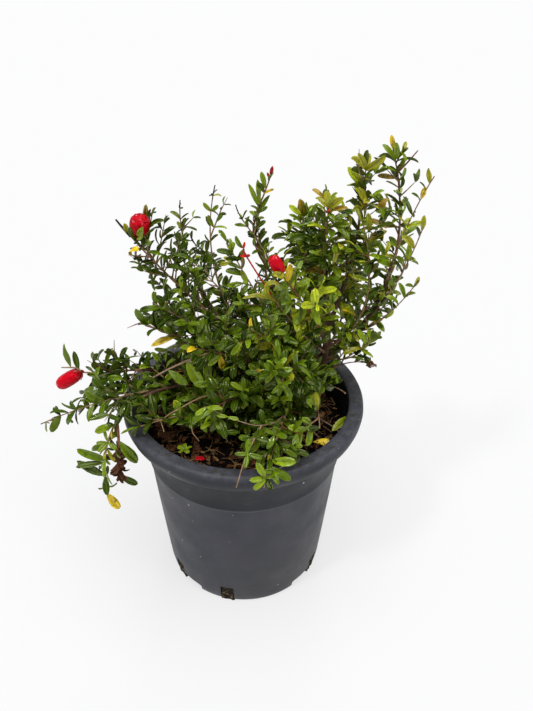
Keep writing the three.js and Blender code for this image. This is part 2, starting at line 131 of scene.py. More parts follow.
# %% Hang the light panels
# name, the direction it shines from, its spread in degrees, strength
PANELS = [
    ("overhead_panel", (0.05, -0.15, 1.0), 60, 2.35),
    ("key_panel", (-0.6, -0.5, 1.0), 7, 0.75),
    ("fill_panel", (1.0, -0.6, 1.0), 20, 0.3),
    ("back_panel", (0.1, 0.9, 0.75), 20, 0.34),
]
for name, source, spread, strength in PANELS:
    panel = bpy.data.objects.new(name, bpy.data.lights.new(name, "SUN"))
    panel.data.angle = math.radians(spread)
    panel.data.energy = strength
    aim = (-Vector(source)).to_track_quat("-Z", "Y")
    panel.matrix_world = Matrix.Translation(source) @ aim.to_matrix().to_4x4()
    bpy.context.scene.collection.objects.link(panel)
print(len(PANELS), "light panels")

# %% [markdown]
# ## Finishes that several materials share
#
# Leaves, bark, plastic and compost all vary in patches. One node group gives that: it lays a noise over
# the piece, cuts it between two levels and puts out a mask. Each material then says what the mask mixes.

# %% Tools for nodes
def make_group(name, inputs, outputs):
    """A new node group. Its inputs are (label, kind, value) and its outputs (label, kind)."""
    group = bpy.data.node_groups.new(name, "ShaderNodeTree")
    for label, kind, value in inputs:
        socket = group.interface.new_socket(label, in_out="INPUT", socket_type=kind)
        socket.default_value = value
    for label, kind in outputs:
        group.interface.new_socket(label, in_out="OUTPUT", socket_type=kind)
    return group, group.nodes.new("NodeGroupInput"), group.nodes.new("NodeGroupOutput")


def feed(links, sockets, values):
    """Gives each socket its value: another node's output is linked to it, a number is set on it."""
    for socket, value in zip(sockets, values):
        if hasattr(value, "links"):
            links.new(value, socket)
        else:
            socket.default_value = value


def map_range(nodes, links, value, low, high, to_low=0.0, to_high=1.0):
    node = nodes.new("ShaderNodeMapRange")
    feed(links, node.inputs, (value, low, high, to_low, to_high))
    return node.outputs[0]


# %% The patches group
FLOAT, VECTOR = "NodeSocketFloat", "NodeSocketVector"
patches, given, out = make_group(
    "patches",
    [("Scale", FLOAT, 40.0), ("Detail", FLOAT, 4.0), ("Low", FLOAT, 0.4), ("High", FLOAT, 0.6),
     ("Stretch", VECTOR, (1.0, 1.0, 1.0))],
    [("Mask", FLOAT), ("Noise", FLOAT)],
)
nodes, links = patches.nodes, patches.links
place = nodes.new("ShaderNodeTexCoord")
mapping = nodes.new("ShaderNodeMapping")
texture = nodes.new("ShaderNodeTexNoise")
links.new(place.outputs["Object"], mapping.inputs["Vector"])
links.new(given.outputs["Stretch"], mapping.inputs["Scale"])
links.new(mapping.outputs["Vector"], texture.inputs["Vector"])
links.new(given.outputs["Scale"], texture.inputs["Scale"])
links.new(given.outputs["Detail"], texture.inputs["Detail"])
mask = map_range(nodes, links, texture.outputs[0], given.outputs["Low"], given.outputs["High"])
links.new(mask, out.inputs["Mask"])
links.new(texture.outputs[0], out.inputs["Noise"])

# %% A band by height
band, given, out = make_group(
    "height_band", [("Low", FLOAT, 0.0), ("High", FLOAT, 1.0)], [("Mask", FLOAT)]
)
nodes, links = band.nodes, band.links
place = nodes.new("ShaderNodeTexCoord")
split = nodes.new("ShaderNodeSeparateXYZ")
links.new(place.outputs["Object"], split.inputs[0])
mask = map_range(nodes, links, split.outputs["Z"], given.outputs["Low"], given.outputs["High"])
links.new(mask, out.inputs["Mask"])
print("node groups:", [group.name for group in bpy.data.node_groups])


# %% A small kit for building a material
class Finish:
    """A Principled material whose colour, roughness and bump are built up from masks."""

    def __init__(self, name, color, roughness, **plain):
        self.material = bpy.data.materials.new(name)
        self.material.use_nodes = True
        self.nodes, self.links = self.material.node_tree.nodes, self.material.node_tree.links
        self.shader = self.nodes["Principled BSDF"]
        self.shader.inputs["Base Color"].default_value = (*color, 1)
        self.shader.inputs["Roughness"].default_value = roughness
        for socket, value in plain.items():
            self.shader.inputs[socket.replace("_", " ")].default_value = value
        self.color, self.bump = None, None

    def group(self, tree, output="Mask", **values):
        node = self.nodes.new("ShaderNodeGroup")
        node.node_tree = tree
        for label, value in values.items():
            node.inputs[label].default_value = value
        return node.outputs[output]

    def patches(self, scale, detail, low=0.4, high=0.6, stretch=(1.0, 1.0, 1.0), output="Mask"):
        """A noise of this scale and detail, cut between low and high."""
        return self.group(patches, output, Scale=scale, Detail=detail, Low=low, High=high, Stretch=stretch)

    def by_height(self, low, high):
        """A mask that runs from nothing at the height low to full at high, in metres."""
        return self.group(band, Low=low, High=high)

    def times(self, first, second):
        node = self.nodes.new("ShaderNodeMath")
        node.operation = "MULTIPLY"
        feed(self.links, node.inputs, (first, second))
        return node.outputs[0]

    def tint(self, mask, color):
        """Mixes a colour into the base colour where the mask is full."""
        mix = self.nodes.new("ShaderNodeMix")
        mix.data_type = "RGBA"
        self.links.new(mask, mix.inputs["Factor"])
        if self.color is None:
            mix.inputs["A"].default_value = self.shader.inputs["Base Color"].default_value
        else:
            self.links.new(self.color, mix.inputs["A"])
        mix.inputs["B"].default_value = (*color, 1)
        self.color = mix.outputs["Result"]
        self.links.new(self.color, self.shader.inputs["Base Color"])

    def speckle(self, scale, detail, low, high, color, share=1.0, within=None, stretch=(1.0, 1.0, 1.0)):
        """Tints patches: share is how strongly, and within is a mask that keeps them to one place."""
        mask = self.patches(scale, detail, low, high, stretch)
        if within is not None:
            mask = self.times(mask, within)
        self.tint(self.times(mask, share) if share < 1.0 else mask, color)

    def dull(self, mask, low, high):
        """The roughness runs from low to high with the mask."""
        value = map_range(self.nodes, self.links, mask, 0.0, 1.0, low, high)
        self.links.new(value, self.shader.inputs["Roughness"])

    def relief(self, scale, detail, distance, strength=1.0, stretch=(1.0, 1.0, 1.0)):
        """Adds a bump of a noise, its distance in metres, on top of any bump before it."""
        node = self.nodes.new("ShaderNodeBump")
        node.inputs["Distance"].default_value = distance
        node.inputs["Strength"].default_value = strength
        noise_height = self.patches(scale, detail, stretch=stretch, output="Noise")
        self.links.new(noise_height, node.inputs["Height"])
        if self.bump is not None:
            self.links.new(self.bump, node.inputs["Normal"])
        self.bump = node.outputs["Normal"]
        self.links.new(self.bump, self.shader.inputs["Normal"])


# %% One object from a bmesh
def mesh_object(name, materials):
    piece = bpy.data.objects.new(name, bpy.data.meshes.new(name))
    for finish in materials:
        piece.data.materials.append(finish)
    bpy.context.scene.collection.objects.link(piece)
    return piece


def finish_bmesh(name, bm, materials, sharp=40.0):
    """One object from a bmesh, smooth but for its sharp edges."""
    bmesh.ops.remove_doubles(bm, verts=bm.verts, dist=1e-6)
    bmesh.ops.recalc_face_normals(bm, faces=bm.faces)
    for face in bm.faces:
        face.smooth = True
    piece = mesh_object(name, materials)
    bm.to_mesh(piece.data)
    bm.free()
    piece.data.set_sharp_from_angle(angle=math.radians(sharp))
    print(f"{name}: {len(piece.data.polygons)} faces")
    return piece


# %% [markdown]
# ## The pot
#
# A moulded polypropylene nursery pot: a thin tapering wall, a rolled rim with a skirt, a faint ring where
# the wall flares out, a rounded foot, and drain slots cut through the corner of the foot. A profile spun
# round the axis gives all of it but the slots, which are boxes taken away with a Boolean modifier.

# %% The pot's sizes
POT_HEIGHT = 230 * MM
SOIL_TOP = 204 * MM
UNDER_RIM = 209 * MM
RIM_RADIUS = 125 * MM
MOUTH_RADIUS = 105 * MM  # inside the wall, at the compost's top
POT_SPIN_STEPS = 160

# radius and height in millimetres: up the outside from the middle of the underside, over the rim, down inside
POT_OUTSIDE = [
    (0, 0), (70, 0), (83.5, 0), (85.6, 0.5), (87.1, 1.7), (88.0, 3.6), (89.5, 12), (93.1, 50), (97.9, 105),
    (102.5, 161.2), (102.8, 162.2), (103.7, 162.8), (103.9, 163.6), (103.6, 164.6), (105.6, 180),
    (108.2, 197), (112.0, 210.6),
]
RIM = [
    (117.4, 212.2), (117.6, 209.6), (118.4, 209), (119.6, 209), (120.2, 209.8), (122.6, 213.5),
    (124.2, 218), (125, 223), (124.6, 226.4), (123.4, 228.8), (121.6, 229.9), (119.4, 229.8),
    (115.0, 229.3), (111.8, 229.1), (110.2, 228.3), (109.4, 226.4),
]
POT_INSIDE = [
    (109.0, 211), (105.8, 197), (103.2, 180), (101.2, 163), (95.5, 105), (90.7, 50), (87.1, 12),
    (84, 3), (0, 3),
]


def spin_profile(profile, steps):
    """A closed surface of revolution round Z from radius and height in millimetres."""
    bm = bmesh.new()
    rings = [bm.verts.new((radius * MM, 0, height * MM)) for radius, height in profile]
    edges = [bm.edges.new(pair) for pair in zip(rings, rings[1:])]
    bmesh.ops.spin(
        bm, geom=rings + edges, cent=(0, 0, 0), axis=(0, 0, 1), angle=2 * math.pi, steps=steps, use_merge=True
    )
    bmesh.ops.remove_doubles(bm, verts=bm.verts, dist=1e-6)
    bmesh.ops.recalc_face_normals(bm, faces=bm.faces)
    return bm


# %% The slots in the foot
SLOT = {"width": 15, "height": 25, "depth": 16}
ARCH = {"width": 27, "height": 11, "depth": 9}
SLOT_AZIMUTHS = (-144, -101, -28)  # each has its like on the other side of the foot
ARCH_AZIMUTHS = (-131, -42)
SLOT_REACH = 88 * MM  # from the pot's axis to the middle of a slot
SLOT_CORNER = 1.2 * MM


def swing(bm, verts, azimuth):
    """Turns some points about the pot's axis."""
    bmesh.ops.rotate(bm, verts=verts, cent=(0, 0, 0), matrix=Matrix.Rotation(math.radians(azimuth), 3, "Z"))


def add_cutter(bm, azimuth, size):
    """A box with rounded corners that cuts one slot or arch."""
    made = bmesh.ops.create_cube(bm, size=1.0)["verts"]
    bmesh.ops.scale(bm, verts=made, vec=mm(size["depth"], size["width"], 2 * size["height"]))
    across = [
        edge for edge in bm.edges
        if edge.verts[0] in made and abs((edge.verts[0].co - edge.verts[1].co).x) > 1e-6
    ]
    bevelled = bmesh.ops.bevel(
        bm, geom=across, offset=SLOT_CORNER, segments=3, profile=0.5, affect="EDGES", material=-1
    )
    made = list({vert for vert in made if vert.is_valid} | set(bevelled["verts"]))
    bmesh.ops.translate(bm, verts=made, vec=(SLOT_REACH, 0, 0))
    swing(bm, made, azimuth)


bm = bmesh.new()
for azimuths, size in ((SLOT_AZIMUTHS, SLOT), (ARCH_AZIMUTHS, ARCH)):
    for azimuth in azimuths:
        add_cutter(bm, azimuth, size)
        add_cutter(bm, azimuth + 180, size)
cutters = finish_bmesh("pot_cutters", bm, [])

# %% [markdown]
# The plastic is a dark blue-grey, matt, and never even. Handling has scuffed the crest of the rim paler,
# and a painted highlight lies along it too. Compost dust sits on its flat lip. Painted shade darkens the band
# from the ring up to the rim's outer face, and a painted highlight runs along the ring as a paler line.
# Water has left a faint olive film low on the wall, and a few specks of perlite cling to it.

# %% Plastic for the pot
plastic = Finish("pot_plastic", (0.0325, 0.0333, 0.0462), 0.5, Specular_IOR_Level=0.32)
low_wall = plastic.by_height(0.16, 0.0)
rim_crest, lip = plastic.by_height(0.2225, 0.2285), plastic.by_height(0.2286, 0.2293)
skirt = plastic.times(plastic.by_height(0.1635, 0.1665), plastic.by_height(0.228, 0.2225))
ring_highlight = plastic.times(plastic.by_height(0.1618, 0.163), plastic.by_height(0.1652, 0.164))
plastic.speckle(9.0, 3.0, 0.42, 0.72, (0.08, 0.078, 0.06), 0.5, low_wall)  # film left by water
plastic.speckle(30.0, 6.0, 0.4, 0.8, (0.04, 0.043, 0.051), 0.2)  # mottling all over
# scuffs on the crest of the rim, and a painted highlight along it
plastic.speckle(150.0, 8.0, 0.25, 0.8, (0.12, 0.125, 0.142), 0.6, rim_crest)  # scuffs
# painted shade: a darker band from the ring up to the rim's outer face, under the rim
plastic.speckle(11.0, 3.0, 0.2, 0.62, (0.0065, 0.0075, 0.0125), 0.94, skirt)  # darker band
# painted highlight: a paler line along the moulded ring
plastic.tint(plastic.times(ring_highlight, 0.6), (0.085, 0.09, 0.1))
plastic.speckle(230.0, 5.0, 0.54, 0.6, (0.042, 0.036, 0.018), 0.7, lip)  # compost dust
plastic.speckle(60.0, 3.0, 0.66, 0.74, (0.13, 0.133, 0.145), 0.22, stretch=(1.0, 1.0, 9.0))  # scratches
plastic.speckle(190.0, 0.0, 0.85, 0.87, (0.5, 0.5, 0.48), 0.8)  # perlite
plastic.dull(plastic.patches(30.0, 5.0, 0.3, 0.7), 0.42, 0.62)
plastic.relief(900.0, 3.0, 0.00012, 0.6)
plastic.relief(14.0, 2.0, 0.0012, 0.2)
print("pot_plastic has", len(plastic.nodes), "nodes")

# %% Spin the pot and cut its slots
bm = spin_profile(POT_OUTSIDE + RIM + POT_INSIDE, POT_SPIN_STEPS)
pot = finish_bmesh("pot_shell", bm, [plastic.material], sharp=50.0)
cut = pot.modifiers.new("slots", "BOOLEAN")
cut.operation, cut.solver, cut.object = "DIFFERENCE", "EXACT", cutters
cut.use_self = True  # slots and arches overlap one another
settled = bpy.data.meshes.new_from_object(pot.evaluated_get(bpy.context.evaluated_depsgraph_get()))
pot.modifiers.clear()
pot.data = settled
pot.data.set_sharp_from_angle(angle=math.radians(35))
bpy.data.objects.remove(cutters)
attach(pot, "root")
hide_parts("pot")
print("pot faces:", len(pot.data.polygons))

# %% [markdown]
# ## The compost
#
# Potting compost is a dark, lumpy mix of peat and bark. It fills the pot, so it is one closed lump from the
# pot's floor up, and its top is many rings pushed up and down by a noise. Each drain slot has a lumpy plug of
# its own, paler than the compost inside, where it shows. Bark chips and fibres lie on the top.

# %% Compost body
compost = Finish("compost", (0.003, 0.002, 0.0014), 0.95, Specular_IOR_Level=0.08)
compost.speckle(160.0, 6.0, 0.52, 0.66, (0.012, 0.0075, 0.004))
compost.speckle(420.0, 4.0, 0.6, 0.7, (0.05, 0.026, 0.014))
compost.relief(330.0, 6.0, 0.003)

SOIL_SIDE = [
    (0, 3.4), (83, 3.4), (86.4, 12), (89.9, 50), (94.8, 105), (100.4, 163), (102.4, 180), (104.6, 196),
]
SOIL_RINGS = 34
SOIL_SPIN_STEPS = 144
EDGE_SINKS_FROM = 94 * MM  # the compost slopes down from here to the wall
LUMPS = ((28.0, 0.3, 2.2), (130.0, 1.7, 1.3))  # how fine, which layer of the noise, how high in millimetres


def soil_height(x, y):
    """Lumps and hollows of the compost's top, in metres above its mean level."""
    return sum(high * noise.noise(Vector((x, y, layer)) * fine) for fine, layer, high in LUMPS) * MM


level = SOIL_TOP / MM
top_rings = [(104.0 * (1 - (k + 0.3) / SOIL_RINGS), level) for k in range(SOIL_RINGS)]
bm = spin_profile(SOIL_SIDE + top_rings + [(0, level)], SOIL_SPIN_STEPS)
for vert in bm.verts:
    if vert.co.z > SOIL_TOP - 1 * MM:
        edge_sink = max(0.0, math.hypot(vert.co.x, vert.co.y) - EDGE_SINKS_FROM) * 0.6
        vert.co.z = SOIL_TOP - 1.5 * MM + soil_height(vert.co.x, vert.co.y) - edge_sink
soil = finish_bmesh("compost_body", bm, [compost.material], sharp=80.0)
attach(soil, "root")
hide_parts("soil")

# %% Compost that shows in the slots
PLUG_HALF_WIDTH, PLUG_HALF_HEIGHT, PLUG_FOOT, PLUG_REACH = 7.2 * MM, 11 * MM, 1.3 * MM, 84.6 * MM
bm = bmesh.new()
for azimuth in SLOT_AZIMUTHS + tuple(azimuth + 180 for azimuth in SLOT_AZIMUTHS):
    made = bmesh.ops.create_grid(bm, x_segments=10, y_segments=14, size=1.0)["verts"]
    for vert in made:
        across, up = vert.co.x * PLUG_HALF_WIDTH, (vert.co.y + 1) * PLUG_HALF_HEIGHT
        lump = noise.noise(Vector((across * 300, up * 300, azimuth))) * 1.2 * MM
        vert.co = (PLUG_REACH + up * 0.06 + lump, across, PLUG_FOOT + up)
    swing(bm, made, azimuth)
bmesh.ops.solidify(bm, geom=bm.faces, thickness=-3 * MM)
fill = Finish("compost_in_slot", (0.016, 0.011, 0.006), 0.9, Specular_IOR_Level=0.2)
fill.speckle(420.0, 4.0, 0.52, 0.6, (0.15, 0.11, 0.05))
fill.speckle(260.0, 3.0, 0.5, 0.6, (0.008, 0.006, 0.004))
plugs = finish_bmesh("compost_in_slots", bm, [fill.material], sharp=80.0)
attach(plugs, "root")

# %% [markdown]
# ## Making many small things at once
#
# Chips, fibres, twigs and thousands of leaves are copies of a few shapes. Each shape is modelled once with
# bmesh, in a unit size, and then copied as plain arrays of points, bent and placed copy by copy. All the
# copies of a kind end up in one joined mesh, which is quick to make.

# %% Templates and joined copies
class Template:
    """The points, faces and material slots of a small bmesh, ready to be copied."""

    def __init__(self, bm):
        bm.normal_update()
        bm.verts.ensure_lookup_table()
        bm.verts.index_update()
        self.points = np.array([vert.co for vert in bm.verts])
        self.corners = np.concatenate([[vert.index for vert in face.verts] for face in bm.faces])
        self.sizes = np.array([len(face.verts) for face in bm.faces])
        self.slots = np.array([face.material_index for face in bm.faces])
        bm.free()


def join_copies(name, materials, copies, sharp=60.0):
    """One object from copies, each a template, its points in metres and a slot for each face."""
    templates, places, slots = zip(*copies)
    firsts = np.cumsum([0] + [len(spots) for spots in places[:-1]])
    corners = np.concatenate([template.corners + first for template, first in zip(templates, firsts)])
    sizes = np.concatenate([template.sizes for template in templates])
    points, slots = np.concatenate(places), np.concatenate(slots)
    piece = mesh_object(name, materials)
    mesh = piece.data
    mesh.vertices.add(len(points))
    mesh.vertices.foreach_set("co", points.astype(np.float32).ravel())
    mesh.loops.add(len(corners))
    mesh.loops.foreach_set("vertex_index", corners.astype(np.int32))
    mesh.polygons.add(len(sizes))
    starts = np.concatenate([[0], np.cumsum(sizes)[:-1]])
    mesh.polygons.foreach_set("loop_start", starts.astype(np.int32))
    mesh.polygons.foreach_set("material_index", slots.astype(np.int32))
    mesh.polygons.foreach_set("use_smooth", np.ones(len(sizes), bool))
    mesh.update(calc_edges=True)
    mesh.validate()
    mesh.set_sharp_from_angle(angle=math.radians(sharp))
    print(f"{name}: {len(copies)} copies, {len(sizes)} faces")
    return piece


# %% Bark chips and fibres on the compost
CHIP_SEED = 5  # without a seed a chip would come out differently each time


def chip_template():
    """A flake of bark: a cube pulled to a flat, skewed splinter with broken ends."""
    noise.seed_set(CHIP_SEED)
    bm = bmesh.new()
    bmesh.ops.create_cube(bm, size=1.0)
    long_edges = [edge for edge in bm.edges if abs((edge.verts[0].co - edge.verts[1].co).y) > 0.5]
    bmesh.ops.subdivide_edges(bm, edges=long_edges, cuts=2)
    for vert in bm.verts:
        shift = noise.noise_vector(vert.co * 1.9 + Vector((3.1, 0.4, 7.7)))
        vert.co += shift * 0.28
    return Template(bm)


def rod_template(sides, steps):
    """A straight rod from z = 0 to 1 of radius 1, with rings to bend it by."""
    bm = bmesh.new()
    bmesh.ops.create_cone(bm, cap_ends=True, segments=sides, radius1=1, radius2=1, depth=1)
    bmesh.ops.translate(bm, verts=bm.verts, vec=(0, 0, 0.5))
    upright = [edge for edge in bm.edges if abs((edge.verts[0].co - edge.verts[1].co).z) > 0.5]
    bmesh.ops.subdivide_edges(bm, edges=upright, cuts=steps - 1)
    return Template(bm)


def bend_rod(template, steps, points, radii):
    """The template's points carried along a line, its ring k at points[k] with radii[k]."""
    ways = np.gradient(points, axis=0)
    ways /= np.linalg.norm(ways, axis=1)[:, None]
    side = np.cross(ways[0], UP if abs(ways[0][2]) < 0.9 else [1.0, 0.0, 0.0])
    sides = []
    for way in ways:
        side = side - way * np.dot(side, way)
        side = side / np.linalg.norm(side)
        sides.append(side)
    sides = np.array(sides)
    others = np.cross(ways, sides)
    ring = np.rint(template.points[:, 2] * steps).astype(int)
    across = template.points[:, :1] * sides[ring] + template.points[:, 1:2] * others[ring]
    return points[ring] + across * np.asarray(radii)[ring][:, None]


# %% Scatter the chips
chip_tones = [
    Finish("bark_chip_dark", (0.006, 0.0035, 0.0024), 0.85, Specular_IOR_Level=0.1),
    Finish("bark_chip_red", (0.13, 0.05, 0.017), 0.8, Specular_IOR_Level=0.2),
    Finish("bark_chip_tan", (0.29, 0.165, 0.06), 0.8, Specular_IOR_Level=0.2),
]
for tone in chip_tones:
    tone.speckle(300.0, 4.0, 0.45, 0.7, (0.007, 0.0035, 0.002), stretch=(1.0, 1.0, 3.0))
    tone.relief(500.0, 4.0, 0.0008, stretch=(1.0, 0.3, 1.0))

CHIP_COUNT, CHIP_REACH = 900, 101 * MM
BIG_CHIPS = 70  # these are twice the size of the rest
CHIP_SHARES, BIG_CHIP_SHARES = [7, 4.5, 1.8], [2, 6, 1.5]  # how many are dark, red and tan


def somewhere(reach, chance):
    """A random place on the compost, within a reach of its middle."""
    far, azimuth = reach * math.sqrt(chance.random()), chance.uniform(0, 2 * math.pi)
    return far * math.cos(azimuth), far * math.sin(azimuth)


chance = random.Random(11)
chip = chip_template()
copies = []
for k in range(CHIP_COUNT):
    x, y = somewhere(CHIP_REACH, chance)
    width, length = chance.uniform(1.2, 4.2), chance.uniform(2.5, 10) * chance.uniform(0.6, 1.2)
    size = mm(width, length, chance.uniform(0.7, 2.0)) * (2.0 if k < BIG_CHIPS else 1.0)
    spin = Matrix.Rotation(chance.uniform(0, 2 * math.pi), 3, "Z")
    for axis, spread in (("X", 0.35), ("Y", 0.3)):
        spin = spin @ Matrix.Rotation(chance.gauss(0, spread), 3, axis)
    places = (chip.points * size) @ np.array(spin).T + [x, y, SOIL_TOP - 0.6 * MM + soil_height(x, y)]
    tone = chance.choices([0, 1, 2], BIG_CHIP_SHARES if k < BIG_CHIPS else CHIP_SHARES)[0]
    copies.append((chip, places, chip.slots + tone))
print(len(copies), "chips")

# %% Scatter the fibres, and join them with the chips
FIBRE_COUNT, FIBRE_REACH, FIBRE_EDGE = 340, 98 * MM, 102 * MM
FIBRE_STEPS = 5
fibre = rod_template(4, FIBRE_STEPS)
along = np.linspace(0, 1, FIBRE_STEPS + 1)[:, None]
for _ in range(FIBRE_COUNT):
    middle = np.array([*somewhere(FIBRE_REACH, chance), 0])
    heading, length = chance.uniform(0, 2 * math.pi), chance.uniform(7, 24) * MM
    run = (along - 0.5) * length * np.array([math.cos(heading), math.sin(heading), 0])
    bow = np.sin(math.pi * along) * mm(chance.gauss(0, 2), chance.gauss(0, 2), 2.2)
    line = middle + run + bow
    if np.hypot(line[:, 0], line[:, 1]).max() >= FIBRE_EDGE:
        continue
    line[:, 2] += [SOIL_TOP + 0.3 * MM + soil_height(x, y) for x, y, _ in line]
    radii = np.full(FIBRE_STEPS + 1, chance.uniform(0.25, 0.6) * MM)
    copies.append((fibre, bend_rod(fibre, FIBRE_STEPS, line, radii), fibre.slots + chance.choice([1, 2, 2])))
litter = join_copies("compost_bark_chips", [tone.material for tone in chip_tones], copies, sharp=30.0)
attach(litter, "root")

# %% [markdown]
# ## The plan of the plant
#
# One short trunk leans to the right and forks into thin boughs. Each row below is a shoot: the limb it
# leaves and where, the tip it reaches, how its middle bows off the straight line, and how far it is bare
# bough before its foliage starts. These are the working model's own rows. What follows them says how a shoot
# is dressed: its part of the crown, its mix of leaf colours, its leaves' length in mm, and how many side
# twigs it bears at each node.

# %% Shoots
TRUNK = {"foot": (44, 8, 199), "tip": (84, 24, 312), "bow": (14, 2, -10)}
TRUNK_SIZE = {"flare": 9.5, "radius": 5.2, "tip": 3.2, "flare_height": 12}
SHOOT_SIZE = {"least": 1.4, "per_length": 0.0065, "side_share": 0.72, "tip_share": 0.42}
SPREAD = 42  # how far a mass reaches from its stem, in millimetres

SHOOTS = [
    ("crest_left", "trunk", 1, (76, 0, 440), (-2.7, 7, 0), 0.35, "right", "olive", 22, 1.3),
    ("crest_mid", "trunk", 0.88, (109, 30, 466), (8, 4, 0), 0.38, "right", "olive", 22, 1.0),
    ("top", "trunk", 0.56, (133, 52, 480), (38, 6, -18), 0.44, "right", "autumn", 20, 0.55),
    ("far_right", "top", 0.39, (164, -2, 470), (-4, -4, 8), 0.3, "right", "autumn", 18, 0.3),
    ("right_reach", "top", 0.29, (157, -16, 428), (2, -6, -4), 0.34, "right", "bright", 18, 0.35),
    ("right_side", "top", 0.2, (157, -32, 386), (0, -6, -6), 0.3, "right", "bright", 15, 0.3),
    ("right_drop", "trunk", 0.38, (139, 10, 258), (2, 4, 12), 0, "right", "shade", 16, 0.45),
    ("inner_right", "trunk", 0.7, (107, 6, 424), (22, -6, -14), 0, "right", "bright", 20, 0.9),
    ("pale_crown", "trunk", 0.81, (56, 40, 414), (-8, 6, 0), 0.32, "middle", "young", 21, 1.4),
    ("flower_shoot", "trunk", 0.73, (29, -42, 402), (6, -10, 2), 0.3, "middle", "young", 21, 0.9),
    ("red_shoot", "trunk", 0.66, (2, -48, 420), (4, -12, -10), 0, "middle", "usual", 18, 0.7),
    ("bud_spire", "trunk", 0.54, (26, 35, 461), (-20, 8, 0), 0.35, "middle", "bright", 15, 0.35),
    ("thorn_spire", "bud_spire", 0.3, (-7, 22, 432), (-10, -4, 0), 0.3, "middle", "usual", 14, 0.8),
    ("mid_tuft", "trunk", 0.46, (-14, -14, 412), (-6, -10, 6), 0, "middle", "usual", 17, 0.8),
    ("flower_arm", "trunk", 0.3, (-111, 0, 423), (-14, -2, 2), 0.5, "left", "shade", 17, 1.7),
    ("thin_spire_right", "flower_arm", 0.3, (-25, 30, 447), (-20, 6, -4), 0.3, "left", "usual", 13, 0.4),
    ("thin_spire_left", "flower_arm", 0.45, (-59, 40, 428), (-14, 8, -2), 0.3, "left", "usual", 13, 0.65),
    ("left_shoulder", "flower_arm", 0.22, (-101, -40, 380), (-6, -12, 8), 0.26, "left", "shade", 20, 1.2),
    ("left_shelf", "trunk", 0.235, (-100, -34, 338), (-6, -4, 14), 0.26, "left", "shade", 21, 1.3),
    ("low_left", "trunk", 0.12, (-180, -20, 259), (0, 6, 22), 0.3, "left", "shade", 23, 1.6),
    ("low_left_tip", "low_left", 0.24, (-200, -52, 228), (0, -14, 26), 0.34, "left", "shade", 21, 1.3),
    ("droop", "low_left_tip", 0.2, (-140, -62, 126), (-30, -16, 55), 0.36, "left", "usual", 20, 0.15),
    ("left_front", "trunk", 0.175, (-99, -72, 244), (0, -8, 14), 0, "front", "usual", 23, 1.8),
    ("centre_low", "trunk", 0.27, (-24, -86, 280), (-8, 0, 8), 0, "front", "usual", 22, 1.7),
    ("centre_front", "trunk", 0.42, (26, -88, 322), (0, -4, 8), 0, "front", "usual", 21, 1.5),
    ("front_hang", "trunk", 0.135, (20, -136, 214), (0, -14, 42), 0, "front", "usual", 20, 1.4),
    ("front_right", "trunk", 0.2, (72, -100, 246), (6, -4, 18), 0, "front", "usual", 22, 1.2),
    ("right_front", "trunk", 0.34, (108, -44, 252), (6, -6, 12), 0, "front", "shade", 21, 0.8),
    ("centre_high", "trunk", 0.5, (6, -62, 352), (-2, -8, 8), 0, "middle", "usual", 20, 1.6),
    ("centre_left", "trunk", 0.37, (-44, -56, 326), (-4, -8, 10), 0, "middle", "usual", 20, 1.3),
    ("right_low", "trunk", 0.62, (124, -14, 312), (4, -6, -8), 0, "right", "bright", 18, 0.9),
    ("back_peak", "trunk", 0.58, (56, 98, 384), (0, 8, -8), 0.28, "back", "usual", 21, 1.3),
    ("back_left", "trunk", 0.2, (-56, 98, 330), (-4, 8, 10), 0.26, "back", "shade", 22, 1.3),
    ("back_low", "trunk", 0.3, (14, 122, 272), (0, 4, 22), 0.22, "back", "shade", 22, 1.2),
    ("back_right", "trunk", 0.44, (122, 98, 330), (6, 8, 4), 0.24, "back", "usual", 21, 1.1),
]
REGIONS = ("right", "middle", "left", "front", "back")


# %% Curves of the limbs
class Line:
    """A limb's middle line, in metres, with even shares from its foot to its tip."""

    SAMPLES = 61
    EASINGS = 30

    def __init__(self, start, tip, bow):
        start, tip, bow = np.asarray(start), np.asarray(tip), np.asarray(bow)
        middle = (start + tip) / 2 + 2 * bow
        t = np.linspace(0, 1, 4 * self.SAMPLES)[:, None]
        self.set_points((1 - t) ** 2 * start + 2 * t * (1 - t) * middle + t**2 * tip)

    @classmethod
    def through(cls, stops):
        """A line through some stops, with its corners eased."""
        line = cls.__new__(cls)
        spots = np.linspace(0, len(stops) - 1, cls.SAMPLES)
        columns = [np.interp(spots, range(len(stops)), column) for column in np.array(stops).T]
        points = np.stack(columns, axis=1)
        for _ in range(cls.EASINGS):
            points[1:-1] = (points[:-2] + 2 * points[1:-1] + points[2:]) / 4
        line.set_points(points)
        return line

    def set_points(self, points):
        steps = np.linalg.norm(np.diff(points, axis=0), axis=1)
        run = np.concatenate([[0], np.cumsum(steps)])
        self.length = run[-1]
        even = np.linspace(0, run[-1], self.SAMPLES)
        self.points = np.stack([np.interp(even, run, points[:, k]) for k in range(3)], axis=1)
        self.shares = np.linspace(0, 1, self.SAMPLES)

    def at(self, share):
        return np.array([np.interp(share, self.shares, self.points[:, k]) for k in range(3)])

    def way(self, share):
        low, high = max(0.0, share - 0.02), min(1.0, share + 0.02)
        return unit(self.at(high) - self.at(low))


def trunk_radius(share):
    height = share * lines["trunk"].length / MM
    flare = max(0.0, 1 - height / TRUNK_SIZE["flare_height"]) ** 2
    taper = TRUNK_SIZE["radius"] + (TRUNK_SIZE["tip"] - TRUNK_SIZE["radius"]) * share
    return (taper + (TRUNK_SIZE["flare"] - TRUNK_SIZE["radius"]) * flare) * MM


def shoot_radius(foot):
    return lambda share: foot * (1 - (1 - SHOOT_SIZE["tip_share"]) * share)


# how far, in millimetres, the leafy part of a shoot sways off its bow
SWAY = {"bud_spire": (-17, 0, 0), "thorn_spire": (13, 0, 0)}

